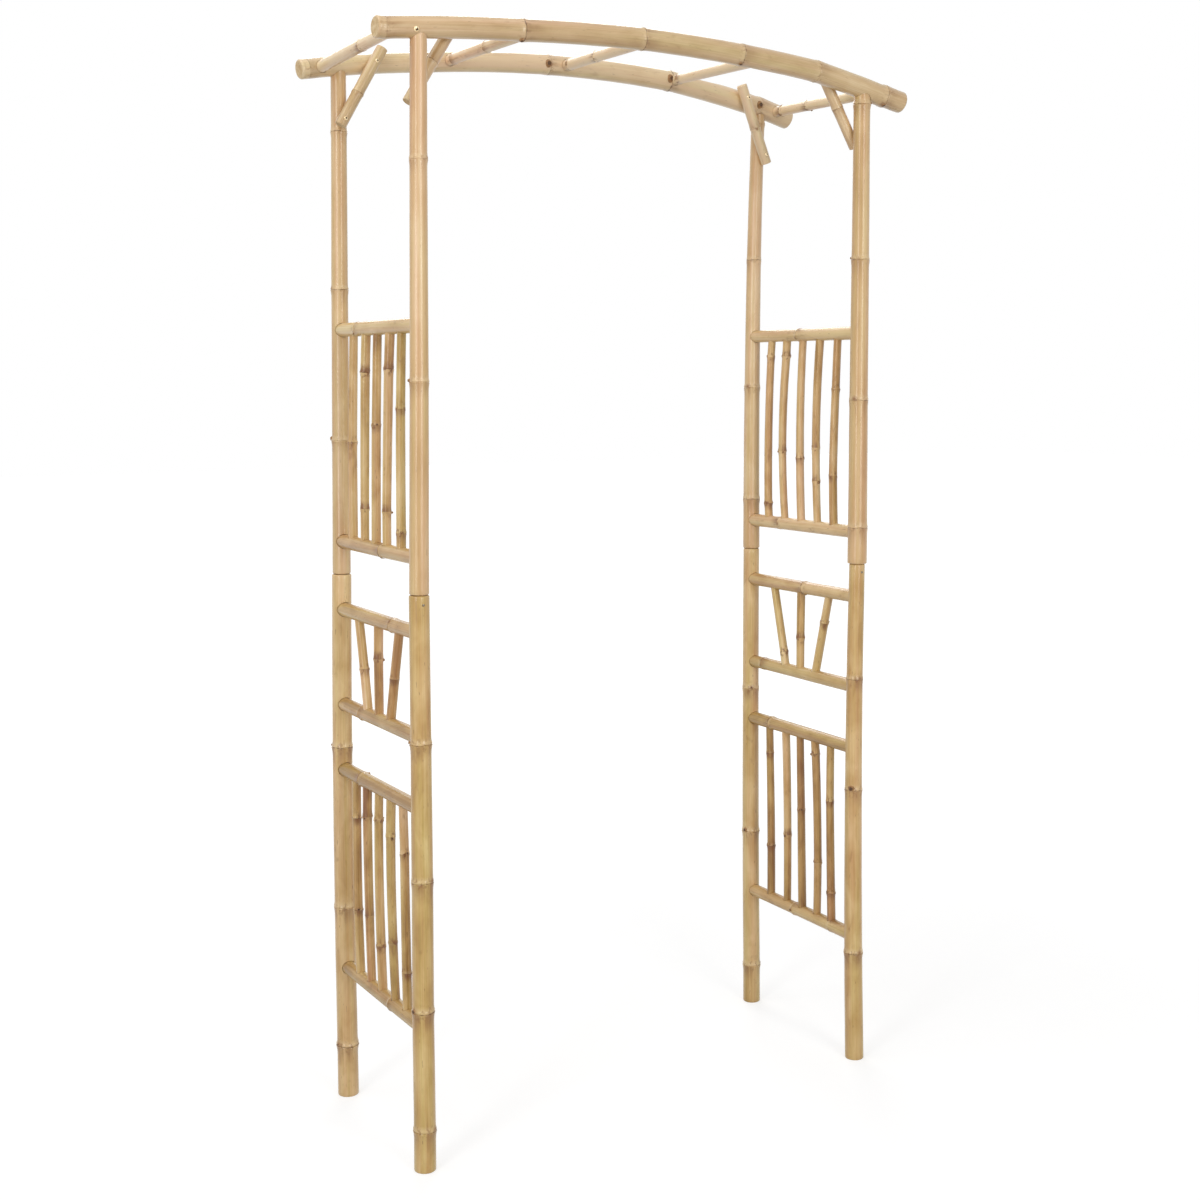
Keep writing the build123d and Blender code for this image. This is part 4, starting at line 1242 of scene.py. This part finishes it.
# %% The fastener tree
FASTENER_SIZES = (
    ("Rim", "NodeSocketFloat", 0.004),
    ("Head", "NodeSocketFloat", 0.002),
    ("Shank", "NodeSocketFloat", 0.002),
    ("Reach", "NodeSocketFloat", 0.03),
    ("Recess", "NodeSocketFloat", 0.6),
    ("Metal", "NodeSocketMaterial", None),
    ("Shade", "NodeSocketMaterial", None),
)
RECESS_SIDES = (1.0, 0.42)  # length and width of a bar of the cross recess, in rim radii
METAL_FINISH, SHADE_FINISH = 0, 1
DOME_SHAPE = {"Segments": 28, "Rings": 14, "Radius": 1.0}
SHANK_SIDES = 16
FASTENER_FOLD = 35  # degrees above which an edge of a fastener is sharp


def lifted(tree, geometry, height):
    """A geometry moved along its own axis."""
    feeds = {"Geometry": geometry, "Translation": combined(tree, 0.0, 0.0, height)}
    return add_node(tree, "GeometryNodeTransform", feeds).outputs[0]


def cross_bars(tree, sizes):
    """The two bars that cut a cross recess into the top of a head."""
    long_side, short_side = (calc(tree, "MULTIPLY", sizes["Rim"], side) for side in RECESS_SIDES)
    deep = calc(tree, "MULTIPLY", calc(tree, "MULTIPLY", sizes["Head"], sizes["Recess"]), 2.0)
    bars = []
    for across, back in ((long_side, short_side), (short_side, long_side)):
        box = combined(tree, across, back, deep)
        bar = add_node(tree, "GeometryNodeMeshCube", {"Size": box}).outputs["Mesh"]
        # the bars' faces that stay in the recess carry the painted shade finish
        bars.append(stored(tree, lifted(tree, bar, sizes["Head"]), "finish", SHADE_FINISH, "INT", "FACE"))
    return bars


def recessed_head(tree, sizes):
    """A dome, flat below, with its recess."""
    ball = add_node(tree, "GeometryNodeMeshUVSphere", DOME_SHAPE).outputs["Mesh"]
    flat = combined(tree, sizes["Rim"], sizes["Rim"], sizes["Head"])
    dome = add_node(tree, "GeometryNodeTransform", {"Geometry": ball, "Scale": flat}).outputs[0]
    side = calc(tree, "MULTIPLY", sizes["Rim"], 3.0)
    box = combined(tree, side, side, calc(tree, "MULTIPLY", sizes["Head"], 2.0))
    block = add_node(tree, "GeometryNodeMeshCube", {"Size": box}).outputs["Mesh"]
    block = lifted(tree, block, calc(tree, "MULTIPLY", sizes["Head"], -1.0))
    head = add_node(tree, "GeometryNodeMeshBoolean", operation="DIFFERENCE", solver="MANIFOLD")
    tree.links.new(stored(tree, dome, "finish", METAL_FINISH, "INT", "FACE"), head.inputs["Mesh 1"])
    for tool in (block, *cross_bars(tree, sizes)):
        tree.links.new(tool, head.inputs["Mesh 2"])
    return head.outputs[0]


def one_fastener(tree, sizes):
    """A head on its shank."""
    feeds = {"Vertices": SHANK_SIDES, "Radius": sizes["Shank"], "Depth": sizes["Reach"]}
    shank = add_node(tree, "GeometryNodeMeshCylinder", feeds).outputs["Mesh"]
    shank = lifted(tree, shank, calc(tree, "MULTIPLY", sizes["Reach"], -0.5))
    whole = add_node(tree, "GeometryNodeMeshBoolean", operation="UNION", solver="MANIFOLD")
    for tool in (recessed_head(tree, sizes), shank):
        tree.links.new(tool, whole.inputs["Mesh 2"])
    return whole.outputs[0]


def build_fastener_tree():
    """The tree that sets a fastener on every seat."""
    tree, sizes = new_tree("fastener", "Seats", FASTENER_SIZES, "Fasteners")
    points = add_node(tree, "GeometryNodeMeshToPoints", {"Mesh": sizes["Seats"]}).outputs[0]
    way = named(tree, "way", "FLOAT_VECTOR")
    aim = add_node(tree, "FunctionNodeAlignRotationToVector", {"Vector": way}, axis="Z").outputs[0]
    feeds = {"Points": points, "Instance": one_fastener(tree, sizes), "Rotation": aim}
    many = add_node(tree, "GeometryNodeInstanceOnPoints", feeds).outputs[0]
    many = add_node(tree, "GeometryNodeRealizeInstances", {"Geometry": many}).outputs[0]
    many = shaded(tree, many, FASTENER_FOLD)
    feeds = {"Geometry": many, "Material": sizes["Metal"]}
    many = add_node(tree, "GeometryNodeSetMaterial", feeds).outputs[0]
    # the recess faces get the dark painted shade
    recessed = is_kind(tree, "finish", SHADE_FINISH)
    feeds = {"Geometry": many, "Selection": recessed, "Material": sizes["Shade"]}
    many = add_node(tree, "GeometryNodeSetMaterial", feeds).outputs[0]
    add_node(tree, "NodeGroupOutput", {"Fasteners": many})
    return tree


fastener_tree = build_fastener_tree()
print("fastener tree with", len(fastener_tree.nodes), "nodes")

# %% Seat them where the frame has them
RIM_SHARE = 0.95  # points beyond this share of the largest radius lie on the rim
TIP_SLICE = 0.001  # the tip of a shank lies within this much of its end
SCREW_RECESS = 0.75  # depth of the cross recess, in heights of the head
NAIL_RECESS = 0.05  # a nail's head is almost plain


def fastener_facts(points):
    """Seat, outward direction, rim radius, head height, shank radius and reach of one CAD fastener."""
    middle = points.mean(0)
    way = np.linalg.svd(points - middle, full_matrices=False)[2][0]
    place = (points - middle) @ way
    off_axis = points - middle - np.outer(place, way)
    aside = (off_axis.max(0) + off_axis.min(0)) / 2
    radius = np.linalg.norm(off_axis - aside, axis=1)
    rim = place[radius > RIM_SHARE * radius.max()].mean()
    if rim < 0:
        way, place, rim = -way, -place, -rim
    tip = radius[place < place.min() + TIP_SLICE].max()
    return middle + aside + way * rim, way, radius.max(), place.max() - rim, tip, rim - place.min()


for name, metal, shade, recess in (
    ("beam_screws", SCREW, RECESS_PAINTED_SHADE, SCREW_RECESS),
    ("brace_screws", SCREW, RECESS_PAINTED_SHADE, SCREW_RECESS),
    ("left_spigot_nails", NAIL, NAIL, NAIL_RECESS),
    ("right_spigot_nails", NAIL, NAIL, NAIL_RECESS),
):
    facts = [fastener_facts(points) for points, rays in outer_shells(name)]
    seats = bpy.data.meshes.new(name + "_seats")
    seats.from_pydata([tuple(row[0]) for row in facts], [], [])
    store = seats.attributes.new("way", "FLOAT_VECTOR", "POINT")
    store.data.foreach_set("vector", np.array([row[1] for row in facts], np.float32).ravel())
    rim, head, shank, reach = (float(np.mean([row[index] for row in facts])) for index in (2, 3, 4, 5))
    sizes = {"Rim": rim, "Head": head, "Shank": shank, "Reach": reach, "Recess": recess}
    sizes.update(Metal=metal, Shade=shade)
    piece = grown(name + "_heads", seats, fastener_tree, sizes)
    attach(piece, body_of[name])
    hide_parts(name)
    print(len(facts), name, "with heads", round(2000 * rim, 1), "mm wide")

# %% Wood for the spigots
for side in ("left", "right"):
    peg = cad_nodes[f"{side}_spigots"]
    peg.data.materials.clear()
    peg.data.materials.append(PEG)
    print(peg.name, "in", PEG.name)

# %% [markdown]
# ## Studio
# The arch stands on a pale floor under soft light. Two tall soft boxes, left and right of the camera, draw
# the long pale streaks down the poles, a high one lights their upper sides, one behind the arch lights its
# back, and the sky fills the rest. The background could be made white by more light, but that would bleach
# the bamboo. So the floor and the sky look white to the camera through Light Path, and the light on the arch
# stays at a plain level. Near the arch the floor glows less, and keeps its soft shadow.

# %% Floor, sky and lights
FLOOR_SIZE = 40.0
FLOOR_PALENESS = 0.45
FLOOR_GLOW = (0.63, 0.9)  # near the arch and far from it
SHADOW_FADE = (0.8, 4.0)  # the floor turns all white between these distances from the arch
SKY_STRENGTH = 0.44
AIM_HEIGHT = 0.95  # the soft boxes face the middle of the arch
SOFT_BOXES = (  # degrees from the camera's side, then distance, height, width and tallness, and watts
    ("left soft box", 30, 3.6, 1.8, 0.8, 2.6, 36),
    ("right soft box", -32, 3.8, 1.8, 1.3, 2.6, 50),
    ("high soft box", 60, 1.5, 4.0, 2.2, 2.2, 28),
    ("back soft box", 170, 3.0, 3.2, 2.2, 1.8, 40),
)


def seen_directly(tree):
    """1 for rays that show the backdrop itself, straight, mirrored or through glass, and 0 for its light."""
    path = add_node(tree, "ShaderNodeLightPath").outputs
    mirrored = calc(tree, "MAXIMUM", path["Is Glossy Ray"], path["Is Transmission Ray"])
    return calc(tree, "MAXIMUM", path["Is Camera Ray"], mirrored)


def studio_floor(paleness, near_glow, far_glow):
    """A wide floor that glows to white away from the arch."""
    mesh = bpy.data.meshes.new("floor")
    half = FLOOR_SIZE / 2
    corners = [(-half, -half, 0), (half, -half, 0), (half, half, 0), (-half, half, 0)]
    mesh.from_pydata(corners, [], [(0, 1, 2, 3)])
    floor = bpy.data.objects.new("floor", mesh)
    bpy.context.scene.collection.objects.link(floor)
    material = bpy.data.materials.new("pale floor")
    material.use_nodes = True
    tree = material.node_tree
    tree.nodes.clear()
    grey = (paleness, paleness, paleness, 1.0)
    matte = add_node(tree, "ShaderNodeBsdfDiffuse", {"Color": grey}).outputs[0]
    away = slope(tree, vector_calc(tree, "LENGTH", own_place(tree)), *SHADOW_FADE)
    glow = calc(tree, "MULTIPLY_ADD", away, far_glow - near_glow, near_glow)
    level = calc(tree, "MULTIPLY", seen_directly(tree), glow)
    shine = add_node(tree, "ShaderNodeEmission", {"Strength": level}).outputs[0]
    both = add_node(tree, "ShaderNodeAddShader", {0: matte, 1: shine}).outputs[0]
    add_node(tree, "ShaderNodeOutputMaterial", {"Surface": both})
    mesh.materials.append(material)
    floor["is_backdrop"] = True


def studio_sky(strength):
    """A sky that is white to the camera and gives this much light."""
    world = bpy.data.worlds.new("studio sky")
    bpy.context.scene.world = world
    world.use_nodes = True
    tree = world.node_tree
    tree.nodes.clear()
    level = calc(tree, "MULTIPLY_ADD", seen_directly(tree), 1.0 - strength, strength)
    feeds = {"Color": (1.0, 1.0, 1.0, 1.0), "Strength": level}
    sky = add_node(tree, "ShaderNodeBackground", feeds).outputs[0]
    add_node(tree, "ShaderNodeOutputWorld", {"Surface": sky})


def soft_box(name, turn, distance, height, width, tall, watts):
    """A soft box, turned from the camera's side of the arch, that faces the arch."""
    light = bpy.data.lights.new(name, "AREA")
    light.shape = "RECTANGLE"
    light.size = width
    light.size_y = tall
    light.energy = watts
    box = bpy.data.objects.new(name, light)
    azimuth = math.radians(CAMERA_TURN + turn)
    box.location = (-distance * math.sin(azimuth), -distance * math.cos(azimuth), height)
    aim = Vector((0, 0, AIM_HEIGHT)) - box.location
    box.rotation_euler = aim.to_track_quat("-Z", "Y").to_euler()
    bpy.context.scene.collection.objects.link(box)


studio_floor(FLOOR_PALENESS, *FLOOR_GLOW)
studio_sky(SKY_STRENGTH)
for facts in SOFT_BOXES:
    soft_box(*facts)
bpy.context.scene.view_settings.view_transform = "Standard"
print(len(SOFT_BOXES), "soft boxes with", sum(facts[-1] for facts in SOFT_BOXES), "watts in all")

# %% [markdown]
# ## Sizes
# Last, the box of the CAD frame and the box of the grown arch are printed side by side.

# %% Compare the boxes
grown_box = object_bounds()
sizes = {
    "cad": [list(corner) for corner in cad_box],
    "visual": [list(corner) for corner in grown_box],
}
for title, (low, high) in sizes.items():
    print(title, [round(top - bottom, 4) for bottom, top in zip(low, high)])
